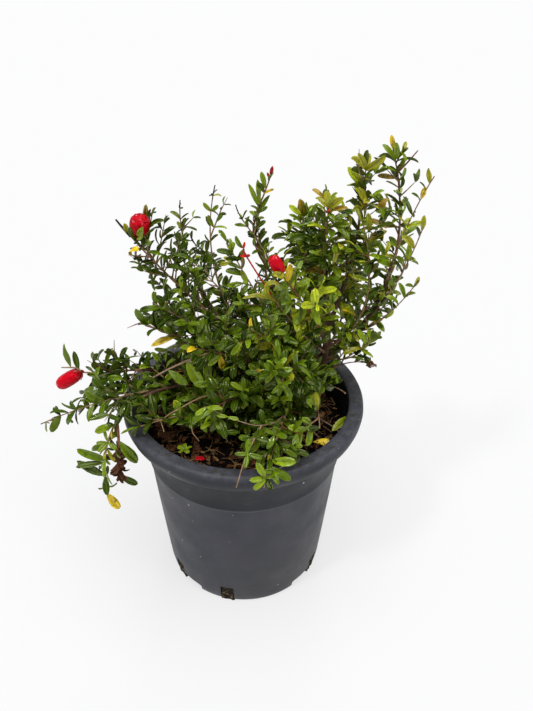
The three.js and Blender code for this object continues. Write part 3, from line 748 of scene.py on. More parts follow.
lines = {"trunk": Line(mm(*TRUNK["foot"]), mm(*TRUNK["tip"]), mm(*TRUNK["bow"]))}
lines["trunk"].radius = trunk_radius
for name, parent, leaves_at, tip, bow, bare, region, mix, leaf_length, fullness in SHOOTS:
    line = Line(lines[parent].at(leaves_at), mm(*tip), mm(*bow))
    thinner = 1 if parent == "trunk" and bare else SHOOT_SIZE["side_share"]
    foot = thinner * (SHOOT_SIZE["least"] * MM + SHOOT_SIZE["per_length"] * line.length)
    line.name, line.bare, line.radius = name, bare, shoot_radius(foot)
    leafy = np.clip((line.shares - bare) / (1 - bare), 0, 1)[:, None]
    line.points += np.sin(math.pi * leafy) ** 2 * mm(*SWAY.get(name, (0, 0, 0)))
    line.region, line.mix, line.leaf_length, line.fullness = region, mix, leaf_length * MM, fullness
    line.stretch = 1.0
    lines[name] = line
shoots = [line for name, line in lines.items() if name != "trunk"]
print(len(shoots), "shoots,", round(sum(line.length for line in shoots), 2), "m of wood")

# %% [markdown]
# The crown has a ragged outline from the front, and the floor shows through it here and there. Both are
# laid off on the upright plane through the pot's axis, as seen from the eye, in millimetres right and up.
# A leaf is tried against them, so the shoots keep their own silhouettes.

# %% The crown's outline and gaps
EYE = (25, -575, 685)
OUTLINE = [
    (-227, 172), (-216, 204), (-162, 236), (-158, 292), (-92, 285), (-60, 292), (-78, 306), (-107, 312),
    (-107, 328), (-84, 342), (-99, 376), (-110, 388), (-107, 430), (-60, 440), (-58, 450), (-48, 446),
    (-44, 432), (-34, 464), (-18, 463), (-12, 424), (-12, 448), (6, 435), (6, 464), (26, 484), (36, 470),
    (33, 438), (42, 426), (47, 450), (75, 463), (89, 460), (91, 484), (118, 501), (134, 504), (160, 484),
    (154, 450), (165, 418), (154, 404), (168, 372), (149, 334), (132, 293), (143, 258), (104, 287),
    (101, 255), (94, 236), (80, 220), (72, 196), (70, 160), (90, 134), (90, 106), (58, 88), (24, 78),
    (-2, 148), (-30, 170), (-72, 186), (-108, 188), (-104, 80), (-113, 56), (-159, 50), (-190, 131),
    (-176, 158), (-160, 184), (-192, 168),
]
GAPS = [(-31, 365, 7), (9, 391, 7), (9, 373, 7), (-5, 366, 5.5), (2, 405, 5.5)]  # right, up, radius
print("an outline of", len(OUTLINE), "corners and", len(GAPS), "gaps")


# %% Where foliage may be
def spread_at(line, share):
    """How far a mass reaches from its stem: fullest a little past its middle."""
    along = (share - line.bare) / (1 - line.bare)
    return line.stretch * SPREAD * MM * (0.72 + 0.28 * math.sin(math.pi * min(1.0, 0.25 + max(along, 0.0))))


def in_reach(line, point):
    """Whether a point is within the reach of its own mass."""
    gaps = np.linalg.norm(line.points - point, axis=1)
    nearest = int(gaps.argmin())
    return gaps[nearest] < spread_at(line, line.shares[nearest])


def seen_at(point):
    """Where the eye sees a point, on the upright plane through the pot's axis, in millimetres."""
    x, y, z = np.asarray(point) / MM
    share = EYE[1] / (EYE[1] - y)
    return EYE[0] + (x - EYE[0]) * share, EYE[2] + (z - EYE[2]) * share


def in_gap(point):
    x, z = seen_at(point)
    return any(math.hypot(x - right, z - up) < radius for right, up, radius in GAPS)


def in_outline(point):
    x, z = seen_at(point)
    inside = False
    for (x0, z0), (x1, z1) in zip(OUTLINE[-1:] + OUTLINE, OUTLINE):
        if (z0 > z) != (z1 > z) and x < x0 + (x1 - x0) * (z - z0) / (z1 - z0):
            inside = not inside
    return inside


def in_pot(point, air=1.5 * MM):
    """Whether a point is in the pot's wall or rim, or in the compost."""
    reach, height = math.hypot(point[0], point[1]), point[2]
    if height > POT_HEIGHT + air:
        return False
    radii, heights = zip(*POT_OUTSIDE[2:])
    outside = np.interp(height / MM, heights, radii) * MM if height <= UNDER_RIM - air else RIM_RADIUS
    if reach > outside + air:
        return False
    return reach > MOUTH_RADIUS - air or height < SOIL_TOP + air


# %% [markdown]
# ## Bark
#
# The trunk and the older boughs have thin grey-brown bark with fine cracks along them. Each limb is a rod
# bent along its line, with rings close enough to carry real ridges, and a low swelling where it leaves
# its parent. Young wood is thinner, smoother and redder, and ends here and there in a hard dark thorn.

# %% Bark and twig finishes
bark = Finish("bark_old", (0.17, 0.095, 0.052), 0.78, Specular_IOR_Level=0.25)
bark.speckle(180.0, 5.0, 0.42, 0.66, (0.07, 0.036, 0.02), stretch=(1.0, 1.0, 0.35))
bark.speckle(60.0, 4.0, 0.55, 0.75, (0.27, 0.18, 0.115))
bark.relief(420.0, 6.0, 0.0009, stretch=(1.0, 1.0, 0.3))


def scaled(color, factor):
    """A colour made darker or lighter."""
    return tuple(factor * part for part in color)


twig_tones = [
    Finish("twig_brown", (0.37, 0.22, 0.115), 0.6, Specular_IOR_Level=0.25),
    Finish("twig_red_brown", (0.27, 0.11, 0.055), 0.5, Specular_IOR_Level=0.25),
    Finish("twig_green", (0.12, 0.15, 0.04), 0.5),
    Finish("thorn_dark", (0.016, 0.012, 0.01), 0.55, Specular_IOR_Level=0.25),
    Finish("shoot_red", (0.5, 0.012, 0.014), 0.4, Specular_IOR_Level=0.25),
    Finish("twig_pale", (0.36, 0.24, 0.15), 0.65, Specular_IOR_Level=0.25),
]
BROWN, RED_BROWN, GREEN, THORN, RED, PALE = range(len(twig_tones))
for tone in twig_tones:
    darker = scaled(tone.shader.inputs["Base Color"].default_value[:3], 0.55)
    tone.speckle(240.0, 4.0, 0.45, 0.7, darker)
    tone.relief(700.0, 4.0, 0.0004)
print(1 + len(twig_tones), "finishes for wood")

# %% Tools for a limb
COLLAR_SWELL, COLLAR_LENGTH = 0.35, 4 * MM  # the swelling where a limb leaves its parent


def ridged(points, middle, depth, seed):
    """Pushes a rod's points out and in, away from its middle line, in ridges that run along it."""
    out = []
    for point, centre in zip(points, middle):
        away = point - centre
        along = Vector((point[0] * 420 + seed, point[1] * 420, point[2] * 90))
        lump = noise.noise(along) + 0.5 * noise.noise(along * 2.3)
        out.append(centre + away * (1 + depth * lump))
    return np.array(out)


def limb_copy(line, sides, ring_gap, to_share, depth, seed):
    """A limb's rod, from its foot to a share of its length, with ridges this deep for its radius."""
    steps = max(4, int(line.length * to_share / ring_gap))
    template = rod_template(sides, steps)
    shares = np.linspace(0, to_share, steps + 1)
    points = np.array([line.at(share) for share in shares])
    collar = np.exp(-shares * line.length / COLLAR_LENGTH) * COLLAR_SWELL
    radii = np.array([line.radius(share) for share in shares]) * (1 + collar)
    ring = np.rint(template.points[:, 2] * steps).astype(int)
    rod = bend_rod(template, steps, points, radii)
    return template, ridged(rod, points[ring], depth, seed), template.slots


# %% Model the trunk and the boughs
copies = [limb_copy(lines["trunk"], 24, 0.9 * MM, 1.0, 0.16, 5)]
trunk = join_copies("trunk_bark", [bark.material], copies, sharp=70.0)
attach(trunk, "root")
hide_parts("trunk")

boughs = [line for line in shoots if line.bare]
copies = [limb_copy(line, 14, 1.6 * MM, line.bare, 0.12, 17 * k) for k, line in enumerate(boughs)]
bough_wood = join_copies("boughs_bark", [bark.material], copies, sharp=70.0)
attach(bough_wood, "root")
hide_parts(*(f"bough_{line.name}" for line in boughs))

# %% [markdown]
# ## A leaf
#
# A pomegranate leaf is a small glossy blade, oblong, blunt at the tip, on a very short stalk. It folds a
# little along a pale midrib and its tip curls down. The template is a unit grid for the upper side and one
# for the underside, which meet along the margin. The copies give each leaf its own outline, fold and curl.

# %% Leaf template and bending
LEAF_ROWS = (0.0, 0.06, 0.18, 0.36, 0.56, 0.76, 0.91, 1.0)
TOP_COLUMNS = (-1.0, -0.55, -0.07, 0.07, 0.55, 1.0)
UNDER_COLUMNS = (-1.0, 0.0, 1.0)
BLADE, RIB, UNDER = range(3)


def leaf_side(bm, rows, columns, lift, blade_slot):
    """One side of the leaf: x is across, y along, and z is how far it stands off the other side."""
    made = bmesh.ops.create_grid(bm, x_segments=len(columns) - 1, y_segments=len(rows) - 1, size=1.0)["verts"]
    for vert in made:
        column = round((vert.co.x + 1) / 2 * (len(columns) - 1))
        row = round((vert.co.y + 1) / 2 * (len(rows) - 1))
        ends = row in (0, len(rows) - 1)
        margin = column in (0, len(columns) - 1)
        vert.co = (0 if ends else columns[column], rows[row], 0 if ends or margin else lift)
    for face in {face for vert in made for face in vert.link_faces}:
        face.material_index = RIB if abs(face.calc_center_median().x) < 0.05 and lift > 0 else blade_slot
        if lift < 0:
            face.normal_flip()


def leaf_template(rows):
    bm = bmesh.new()
    leaf_side(bm, rows, TOP_COLUMNS, 0.5, BLADE)
    leaf_side(bm, rows, UNDER_COLUMNS, -0.5, UNDER)
    bmesh.ops.remove_doubles(bm, verts=bm.verts, dist=1e-5)
    bmesh.ops.dissolve_degenerate(bm, edges=bm.edges, dist=1e-5)
    return Template(bm)


def follow_midrib(leaf, along, x, rise):
    """The points of a leaf that follows a line of its own in place of a curl."""
    line = leaf["midrib"]
    ways = np.gradient(line.points, axis=0)
    crosses = np.cross(ways, leaf["face"])
    crosses /= np.linalg.norm(crosses, axis=1)[:, None]
    tops = np.cross(crosses, ways)
    tops /= np.linalg.norm(tops, axis=1)[:, None]
    step = np.rint(along * (line.SAMPLES - 1)).astype(int)
    return line.points[step] + x[:, None] * crosses[step] + rise[:, None] * tops[step]


def bend_leaf(template, leaf):
    """The leaf's points in metres: outline, fold, curl and twist, then its place."""
    across, along, side = template.points.T
    outline = np.sin(np.pi * np.clip(along, 0, 1) ** leaf["belly"]) ** leaf["blunt"]
    x = across * leaf["width"] / 2 * outline
    bulge = 0.13 * leaf["width"] * np.sin(np.pi * np.abs(across)) * outline
    rise = leaf["fold"] * np.abs(x) + bulge + side * leaf["thick"]
    rise += leaf["wave"] * leaf["width"] * np.sin(9 * along + leaf["phase"]) * across * np.abs(across)
    if leaf["midrib"]:
        return follow_midrib(leaf, along, x, rise)
    angle = leaf["curl"] * along
    y = leaf["length"] * np.sin(angle) / leaf["curl"] + rise * np.sin(angle)
    z = rise * np.cos(angle) - leaf["length"] * (1 - np.cos(angle)) / leaf["curl"]
    tilt = leaf["twist"] * along
    x, z = x * np.cos(tilt) - rise * np.sin(tilt), z + x * np.sin(tilt)
    cross = unit(np.cross(leaf["way"], leaf["face"]))
    top = np.cross(cross, leaf["way"])
    return leaf["root"] + x[:, None] * cross + y[:, None] * leaf["way"] + z[:, None] * top


leaf_shape, fine_leaf_shape = leaf_template(LEAF_ROWS), leaf_template(np.linspace(0, 1, 25))
print("a leaf has", len(leaf_shape.sizes), "faces")

# %% [markdown]
# Each spray of leaves is dealt one tone, and now and then a neighbouring one, so the crown shows patches
# of age and of painted shade: darker leaves inside and low on the left, partly old ones and partly painted
# shade, lighter ones in the middle, olive and bronze at the top right, and a few that have turned yellow.
# The midrib and the underside are paler and duller.

# %% Leaf finishes
LEAF_TONES = {  # colour and roughness
    "deep": ((0.017, 0.037, 0.001), 0.175),
    "dark": ((0.039, 0.076, 0.0015), 0.175),
    "mid": ((0.11, 0.178, 0.003), 0.175),
    "bright": ((0.215, 0.308, 0.006), 0.24),
    "young": ((0.41, 0.49, 0.014), 0.27),
    "olive": ((0.32, 0.31, 0.008), 0.28),
    "bronze": ((0.32, 0.2, 0.014), 0.33),
    "yellow": ((0.76, 0.54, 0.01), 0.35),
    "rust": ((0.15, 0.05, 0.02), 0.63),
    "red": ((0.5, 0.008, 0.01), 0.31),
}
TONES = list(LEAF_TONES)
leaf_finishes = []
for name, (color, roughness) in LEAF_TONES.items():
    sheen = (0.97, 1.0, min(1.0, 0.4 + 2.2 * color[1]), 1)  # an old dark leaf shines greener
    finish = Finish(f"leaf_{name}", color, roughness, Specular_IOR_Level=0.45, Specular_Tint=sheen)
    finish.speckle(70.0, 3.0, 0.45, 0.7, scaled(color, 1.45))
    finish.speckle(260.0, 3.0, 0.5, 0.72, scaled(color, 0.6))
    if name in ("yellow", "bronze"):
        finish.speckle(190.0, 4.0, 0.6, 0.68, (0.24, 0.17, 0.02))
    finish.relief(500.0, 2.0, 0.0002, 0.35)
    leaf_finishes.append(finish.material)
for name, color, roughness in (
    ("leaf_rib_green", (0.16, 0.21, 0.02), 0.4),
    ("leaf_rib_yellow", (0.6, 0.45, 0.08), 0.5),
    ("leaf_under_green", (0.11, 0.155, 0.016), 0.5),
    ("leaf_under_yellow", (0.45, 0.33, 0.03), 0.6),
    ("leaf_under_rust", (0.11, 0.04, 0.018), 0.8),
):
    finish = Finish(name, color, roughness, Specular_IOR_Level=0.2)
    finish.speckle(200.0, 3.0, 0.4, 0.7, scaled(color, 0.7))
    leaf_finishes.append(finish.material)
print(len(leaf_finishes), "leaf finishes")

# %% Which finishes a leaf of each tone wears, and the tones each mix is dealt from
RIB_GREEN, RIB_YELLOW, UNDER_GREEN, UNDER_YELLOW, UNDER_RUST = range(len(TONES), len(TONES) + 5)
SLOTS_OF_TONE = {name: (TONES.index(name), RIB_GREEN, UNDER_GREEN) for name in TONES}
SLOTS_OF_TONE["yellow"] = (TONES.index("yellow"), RIB_YELLOW, UNDER_YELLOW)
SLOTS_OF_TONE["rust"] = (TONES.index("rust"), UNDER_RUST, UNDER_RUST)
SLOTS_OF_TONE["red"] = (TONES.index("red"),) * 3

MIXES = {
    # the shade mix deals darker leaves, partly old ones and partly painted shade, to shoots on the left, at
    # the back and low on the right
    "shade": {"deep": 4, "dark": 7, "mid": 5, "bright": 1.2, "yellow": 0.12},
    "usual": {"deep": 2.5, "dark": 5.5, "mid": 6, "bright": 2.6, "young": 0.4, "olive": 0.5, "yellow": 0.12},
    "bright": {"deep": 1, "dark": 3, "mid": 5, "bright": 5, "young": 1.5, "olive": 0.8, "yellow": 0.2},
    "young": {"dark": 0.8, "mid": 2.5, "bright": 6.5, "young": 5.5, "olive": 2, "yellow": 0.2},
    "olive": {"deep": 0.8, "dark": 2.4, "mid": 4, "bright": 4.6, "olive": 5.5, "young": 2.2, "bronze": 0.9},
    "autumn": {
        "deep": 0.7, "dark": 2.4, "mid": 5, "bright": 5, "olive": 3.4, "young": 1.5, "bronze": 0.4,
        "yellow": 0.2,
    },
}
print("mixes:", list(MIXES))

# %% [markdown]
# ## Growing the foliage
#
# Every mass grows by one rule. Its stem carries on from the bough. Nodes sit along the stem a finger's
# width apart, each turned a quarter from the last, and bear a pair of leaves, a tuft of small leaves, or
# a twig that has its own pairs. Whatever would leave the mass's reach, the crown's outline or the air
# round the pot isn't grown. Neither is a leaf that would sit in another, fill a gap of the crown or hide
# a stretch of stem that shows.

# %% Where a leaf may grow, and which way it turns
LEAF_GAP = 4.3 * MM  # least distance between the middles of two leaves
GAP_OF_LENGTH = 0.26  # a long leaf keeps this share of its length
NODE_GAP = 9.0 * MM
TWIG_NODE_GAP = 7.0 * MM
TWIG_AIR = 3 * MM  # between a side twig and the pot
LEAF_THICKNESS = 0.35 * MM
CROWN_MIDDLE, CROWN_REACH = mm(30, 10, 300), 110 * MM
TO_EYE = unit(np.array(CAMERA_PLACE) - CROWN_MIDDLE)
leaves, rods = [], []  # what has grown: each rod is (region, points, radii, tone)
taken = np.zeros((0, 3))


def leaning(axis, lean, turn_angle):
    """A direction that leans off an axis by an angle, at a turn about it."""
    side = unit(np.cross(axis, UP if abs(axis[2]) < 0.9 else [1.0, 0.0, 0.0]))
    other = np.cross(axis, side)
    off = side * math.cos(turn_angle) + other * math.sin(turn_angle)
    return unit(axis * math.cos(lean) + off * math.sin(lean))


def light_from(point):
    """The way a leaf faces: up, and outward from the crown's middle."""
    away = (point - CROWN_MIDDLE) * (1, 1, 0) / CROWN_REACH
    return UP * 0.85 + away * 0.55 + np.array([0.0, -0.18, 0.0])


# %% Stems that show
CLEAR_STEMS = {  # the shoot, and from where to where it shows in front of the leaves
    "low_left": (0.3, 0.88), "low_left_tip": (0.55, 1.0), "left_front": (0.35, 0.8),
    "flower_shoot": (0.6, 0.95), "red_shoot": (0.35, 1.0), "top": (0.5, 0.7), "crest_left": (0.3, 0.5),
    "flower_arm": (0.6, 0.85),
}
STEM_AIR = 2.6  # millimetres on the upright plane
stem_spots = [lines[name].at(share) for name, ends in CLEAR_STEMS.items() for share in np.linspace(*ends, 24)]
stem_view = np.array([(*seen_at(spot), np.linalg.norm(spot - CAMERA_PLACE)) for spot in stem_spots])
print(len(stem_spots), "spots of stem are kept clear")


def hides_stem(point):
    """Whether a leaf in the middle here would stand in front of a stem that shows."""
    near = np.linalg.norm(stem_view[:, :2] - seen_at(point), axis=1) < STEM_AIR
    return near.any() and np.linalg.norm(point - CAMERA_PLACE) < stem_view[near, 2].min()


# %% One leaf
def make_leaf(region, root, way, length, wide, tone, curl, face, chance, midrib=None):
    """Keeps one leaf, and the room it takes. A leaf with a midrib line follows it in place of a curl."""
    global taken
    way = unit(way)
    taken = np.vstack([taken, root + way * length * 0.5])
    leaves.append({
        "root": root, "way": way, "face": unit(face), "length": length, "tone": tone, "region": region,
        "width": length * wide, "thick": LEAF_THICKNESS, "belly": chance.uniform(1.05, 1.55),
        "blunt": chance.uniform(0.4, 0.66), "fold": chance.uniform(0.1, 0.6), "curl": curl,
        "wave": chance.gauss(0, 0.03), "phase": chance.uniform(0, 6), "twist": chance.gauss(0, 0.5),
        "midrib": midrib,
    })


def grow_leaf(line, root, way, length, tone, chance):
    """Grows one leaf where there is room for it."""
    way = unit(way + UP * chance.uniform(-0.05, 0.25))
    middle, tip = root + way * length * 0.5, root + way * length * 0.95
    if not (in_reach(line, tip) and in_outline(tip)):
        return
    if any(in_pot(spot) or in_gap(spot) for spot in (tip, middle)) or hides_stem(middle):
        return
    if np.linalg.norm(taken - middle, axis=1).min() < max(LEAF_GAP, GAP_OF_LENGTH * length):
        return
    face = unit(light_from(root)) + np.array([chance.gauss(0, 0.5) for _ in range(3)])
    curl = chance.choice([0.15, 0.3, 0.45, 0.7, 1.0]) + chance.random() * 0.15
    wide = chance.uniform(0.31, 0.43)
    make_leaf(line.region, root, way, length, wide, tone, curl, face, chance)


# %% Pairs, tufts and side twigs
# how often a leaf keeps its spray's tone, a node without a twig bears a tuft, a short twig ends in a thorn
KEEPS_TONE, BEARS_TUFT, ENDS_IN_THORN = 0.72, 0.75, 0.14
TWIG_KNOTS = (1.14, 0.94, 1.1, 0.94, 1.08, 0.94, 0.7)  # how a twig swells and narrows at its rings


def pick_tone(line, chance, near=None):
    """A tone from the shoot's mix, and mostly the same as the one near it."""
    mix = MIXES[line.mix]
    if near not in (None, "yellow") and chance.random() < KEEPS_TONE:
        return near
    return chance.choices(list(mix), list(mix.values()))[0]


def grow_pair(line, root, axis, turn_angle, length, tone, chance, lean=0.85):
    """Two leaves on opposite sides of the stem."""
    for side in (0.0, math.pi):
        way = leaning(axis, lean + chance.gauss(0, 0.15), turn_angle + side + chance.gauss(0, 0.25))
        grow_leaf(line, root, way, length * chance.uniform(0.72, 1.1), pick_tone(line, chance, tone), chance)


def grow_tuft(line, root, axis, turn_angle, length, tone, chance):
    """A short shoot: a ring of small leaves from one bud."""
    for k in range(chance.choice([2, 3, 4])):
        way = leaning(axis, chance.uniform(0.4, 1.1), turn_angle + k * 2.4 + chance.gauss(0, 0.3))
        grow_leaf(line, root, way, length * chance.uniform(0.45, 0.85), pick_tone(line, chance, tone), chance)


def dress_twig(line, twig, turn_angle, tone, thorn, chance):
    """Lays a side twig's wood and grows its pairs of leaves."""
    points = np.array([twig.at(share) for share in np.linspace(0, 1, len(TWIG_KNOTS))])
    radii = np.linspace(0.8, 0.35, len(TWIG_KNOTS)) * MM * TWIG_KNOTS
    kind = THORN if thorn else chance.choices([BROWN, RED_BROWN, GREEN], [5, 3, 2])[0]
    rods.append((line.region, points, radii, kind))
    count = max(2, int(twig.length / TWIG_NODE_GAP))
    for k in range(count):
        share = 0.24 + 0.72 * k / (count - 1) - (0.12 if thorn else 0)
        turned, length = k * math.pi / 2 + turn_angle, line.leaf_length * (1.0 - 0.3 * k / count)
        grow_pair(line, twig.at(share), twig.way(share), turned, length, tone, chance, 0.8)
    if not thorn:
        way = twig.way(1.0)
        grow_leaf(line, twig.at(1.0) - way * MM, way, line.leaf_length * 0.7, tone, chance)


def grow_twig(line, root, axis, turn_angle, reach, chance):
    """A side twig with its own pairs of leaves. It ends in a leaf or, if it is short, at times in a thorn."""
    way = leaning(axis, chance.uniform(0.55, 1.05), turn_angle)
    lift = UP * reach * chance.uniform(0.0, 0.22)
    end = root + way * reach + lift
    if not (in_reach(line, end) and in_outline(end)):
        return
    if in_pot(end, TWIG_AIR) or in_pot((root + end) / 2, TWIG_AIR):
        return
    thorn = reach < 20 * MM and chance.random() < ENDS_IN_THORN
    dress_twig(line, Line(root, end, -lift * 0.2), turn_angle, pick_tone(line, chance), thorn, chance)


# %% [markdown]
# Some things on this plant aren't left to the rule: the stalks of its flowers, a few bare or broken twigs,
# leaves that have yellowed and hang, a withered cluster on the shoot that droops over the rim, and the two
# young rosettes at the front. They are rooted first, so that the rule grows its leaves around them.

# %% Spurs
# name, what it springs from and where, the stops it passes in millimetres, radius at its foot, its tone
SPURS = [
    ("left_flower_stalk", "low_left", 0.87, [(-154, -17, 267), (-161.5, -20, 269.5)], 1.3, BROWN),
    ("left_flower_stub", "left_flower_stalk", 0.8, [(-164, -21, 276), (-178, -22, 276.5)], 1.2, PALE),
    ("round_flower_stalk", "flower_arm", 0.9, [(-94.5, 0.5, 405), (-92.8, 0, 409)], 1.4, RED_BROWN),
    ("curled_leaf_twig", "flower_arm", 0.82, [(-90, -7, 386), (-98, -12, 395)], 0.9, THORN),
    ("withered_spur", "droop", 0.48,
     [(-121, -60, 222), (-122, -63, 205), (-124, -64, 188), (-126, -63, 168)], 1.6, RED_BROWN),
    ("pale_twig", "front_hang", 0.45,
     [(30, -86, 262), (13, -98, 270), (-8, -100, 281), (-31, -98, 292)], 0.65, PALE),
    ("hanging_twig", "pale_twig", 0.45, [(12, -112, 264), (4, -122, 248), (-2, -136, 231)], 0.85, BROWN),
    ("top_thorn", "top", 0.88, [(150, 50, 462), (158, 52, 472)], 1.1, RED_BROWN),
    ("arm_thorn", "flower_arm", 0.93, [(-108, 0, 418), (-112, 0, 424)], 1.6, THORN),
    ("withered_tip", "right_drop", 0.75, [(132, 14, 264), (136, 18, 256)], 1.0, RED_BROWN),
    ("red_fork", "red_shoot", 0.97, [(2.5, -48, 420), (3.2, -49, 422.5)], 1.0, RED),
    ("pale_bough", "left_shelf", 0.42,
     [(-20, -24, 296), (-44, -40, 304), (-69, -46, 294), (-84, -46, 284)], 1.5, PALE),
    ("bare_stem", "left_front", 0.3,
     [(-33, -60, 277), (-56, -66, 264), (-78, -72, 254), (-72, -80, 246)], 1.0, BROWN),
]
SPUR_RINGS = 13
for name, parent, share, stops, radius, tone in SPURS:
    spur = Line.through([lines[parent].at(share)] + [mm(*stop) for stop in stops])
    spur.name, spur.region = name, lines[parent].region
    lines[name] = spur
    points = np.array([spur.at(step) for step in np.linspace(0, 1, SPUR_RINGS)])
    rods.append((spur.region, points, np.linspace(1, 0.5, SPUR_RINGS) * radius * MM, tone))
print(len(SPURS), "spurs")

# %% Leaves that follow a line of their own
# where they are rooted, the stops in millimetres, width in mm, tone
BENT_LEAVES = [
    ("red_shoot", 0.65,
     [(24, -47, 374), (21.5, -50, 384), (24, -53, 392), (30, -54, 393.5), (34, -52, 387)], 4.4, "olive"),
    ("red_shoot", 0.68, [(23, -43, 371), (15, -46, 376), (8, -48, 375.5), (1, -50, 374)], 3.6, "olive"),
    ("round_flower_stalk", 0.9, [(-91, -8, 411), (-89, -11, 417), (-86, -12, 423)], 6.5, "bright"),
    ("round_flower_stalk", 0.8, [(-96, -6, 411), (-98.5, -8, 416), (-98, -9, 421)], 5.5, "dark"),
    ("flower_arm", 0.9, [(-88, 10, 415), (-86, 8, 428), (-84, 2, 438)], 6.0, "olive"),
    ("flower_shoot", 0.94, [(34, -51, 398), (30, -53, 400.5), (26.5, -51, 399)], 6.0, "olive"),
]
chance = random.Random(77)
for name, share, stops, width, tone in BENT_LEAVES:
    root, stops = lines[name].at(share), [mm(*stop) for stop in stops]
    midrib = Line.through([root] + stops)
    way, wide = stops[0] - root, width * MM / midrib.length
    make_leaf(lines[name].region, root, way, midrib.length, wide, tone, 1.0, TO_EYE, chance, midrib)
print(len(BENT_LEAVES), "bent leaves")

# %% Leaves placed one by one
# line and share, the way it points, length in mm, width over length, tone, curl, what it faces (None: light)
ODD_LEAVES = [
    ("left_flower_stub", 0.25, (-0.15, 0.1, 1), 20, 0.3, "dark", 0.2, TO_EYE),
    ("left_flower_stub", 0.6, (-0.12, 0.05, 1), 27, 0.27, "mid", 0.15, TO_EYE),
    ("flower_arm", 0.94, (-0.2, -0.3, 1), 12, 0.42, "olive", 0.3, TO_EYE),
    ("curled_leaf_twig", 0.97, (-0.25, -0.15, 0.4), 15, 0.45, "yellow", 2.3, None),
    ("flower_shoot", 0.86, (0.12, -0.3, 1), 20, 0.3, "yellow", 0.3, TO_EYE),
    ("flower_shoot", 0.88, (-0.05, -0.3, -1), 25, 0.34, "mid", 0.3, TO_EYE),
    ("red_shoot", 0.96, (-1, 0.1, 0.1), 6, 0.42, "red", 0.5, TO_EYE),
    ("red_fork", 0.8, (0.1, -0.1, 1), 6.5, 0.4, "red", 0.4, TO_EYE),
    ("droop", 0.7, (-1, -0.1, 0.55), 30, 0.3, "mid", 0.3, TO_EYE),
    ("droop", 0.72, (-1, -0.3, 0.12), 29, 0.27, "dark", 0.25, None),
    ("droop", 0.8, (-0.95, -0.1, 0.7), 33, 0.28, "dark", 0.5, TO_EYE),
    ("withered_spur", 0.3, (0.6, -0.35, -0.8), 31, 0.36, "mid", 0.35, TO_EYE),
    ("withered_spur", 0.95, (1, -0.2, -0.55), 22, 0.34, "dark", 0.3, TO_EYE),
    ("droop", 0.92, (0.45, -0.1, -1), 25, 0.36, "yellow", 0.2, TO_EYE),
    ("left_shelf", 0.78, (-1, -0.25, -0.15), 28, 0.34, "yellow", 0.35, None),
    ("centre_left", 0.82, (0.1, -0.25, -1), 19, 0.36, "yellow", 0.6, TO_EYE),
    ("bud_spire", 0.82, (-0.42, 0, 1), 24, 0.2, "bright", 0.3, TO_EYE),
    ("bud_spire", 0.83, (-0.08, 0, 1), 24, 0.2, "bright", 0.3, TO_EYE),
    ("bud_spire", 0.78, (0.5, -0.1, 0.9), 24, 0.2, "mid", 0.5, TO_EYE),
    ("bud_spire", 0.9, (-0.25, 0, 1), 17, 0.3, "bright", 0.3, TO_EYE),
    ("top", 0.97, (-0.2, 0, 1), 13, 0.36, "yellow", 0.3, TO_EYE),
    ("top", 0.95, (0.9, -0.3, 0.9), 17, 0.42, "bright", 2.2, None),
    ("far_right", 0.93, (-0.15, 0, 1), 14, 0.36, "olive", 0.3, TO_EYE),
    ("far_right", 0.82, (0.2, -0.3, 1), 12, 0.4, "yellow", 0.5, TO_EYE),
    ("right_reach", 0.97, (0.05, 0, 1), 14, 0.34, "olive", 0.4, TO_EYE),
    ("pale_bough", 0.66, (0.6, -0.45, -0.85), 29, 0.4, "bright", 0.3, TO_EYE),
    ("pale_bough", 0.46, (0.1, -0.45, -0.85), 28, 0.37, "bright", 0.3, TO_EYE),
    ("pale_bough", 0.84, (0.8, -0.4, -0.45), 24, 0.36, "mid", 0.3, TO_EYE),
    ("front_hang", 0.79, (1, -0.5, 0.35), 25, 0.36, "bright", 0.3, TO_EYE),
    ("front_hang", 0.82, (1, -0.4, -0.5), 24, 0.34, "mid", 0.3, TO_EYE),
    ("front_hang", 0.7, (1, -0.5, -0.1), 25, 0.38, "dark", 0.3, TO_EYE),
]
for name, share, way, length, wide, tone, curl, face in ODD_LEAVES:
    region, root = lines[name].region, lines[name].at(share)
    facing = light_from(root) if face is None else face
    make_leaf(region, root, np.array(way, float), length * MM, wide, tone, curl, facing, chance)
print(len(ODD_LEAVES), "leaves placed one by one")

# %% Rosettes and upright tufts
# line and share, the tone, leaf length in mm, how many leaves, round which axis, how far they lean off it
ROSETTES = [
    ("centre_front", 0.92, "bright", 16, 6, TO_EYE, 1.0), ("front_hang", 0.88, "bright", 16, 5, TO_EYE, 1.15),
    ("droop", 0.6, "bright", 13, 6, TO_EYE, 1.15), ("hanging_twig", 0.5, "mid", 13, 4, TO_EYE, 1.1),
    ("hanging_twig", 0.25, "dark", 14, 4, TO_EYE, 1.1), ("pale_twig", 0.98, "bright", 13, 2, TO_EYE, 1.15),
    ("pale_twig", 0.78, "bright", 14, 2, TO_EYE, 1.15), ("mid_tuft", 0.94, "bright", 12, 6, UP, 0.4),
    ("crest_left", 0.97, "olive", 17, 5, UP, 0.7), ("crest_mid", 0.97, "olive", 20, 5, UP, 0.6),
    ("pale_crown", 0.98, "young", 18, 5, UP, 0.5), ("top", 0.93, "bright", 17, 4, UP, 0.7),
]
for name, share, tone, length, count, axis, lean in ROSETTES:
    line = lines[name]
    for k in range(count):
        way = leaning(axis, lean + chance.gauss(0, 0.2), k * 2 * math.pi / count + chance.gauss(0, 0.25))
        facing = TO_EYE + 0.5 * way + np.array([chance.gauss(0, 0.2) for _ in range(3)])
        long = length * MM * chance.uniform(0.7, 1.15)
        make_leaf(line.region, line.at(share), way, long, 0.36, tone, 0.6, facing, chance)
print(len(ROSETTES), "rosettes and tufts")

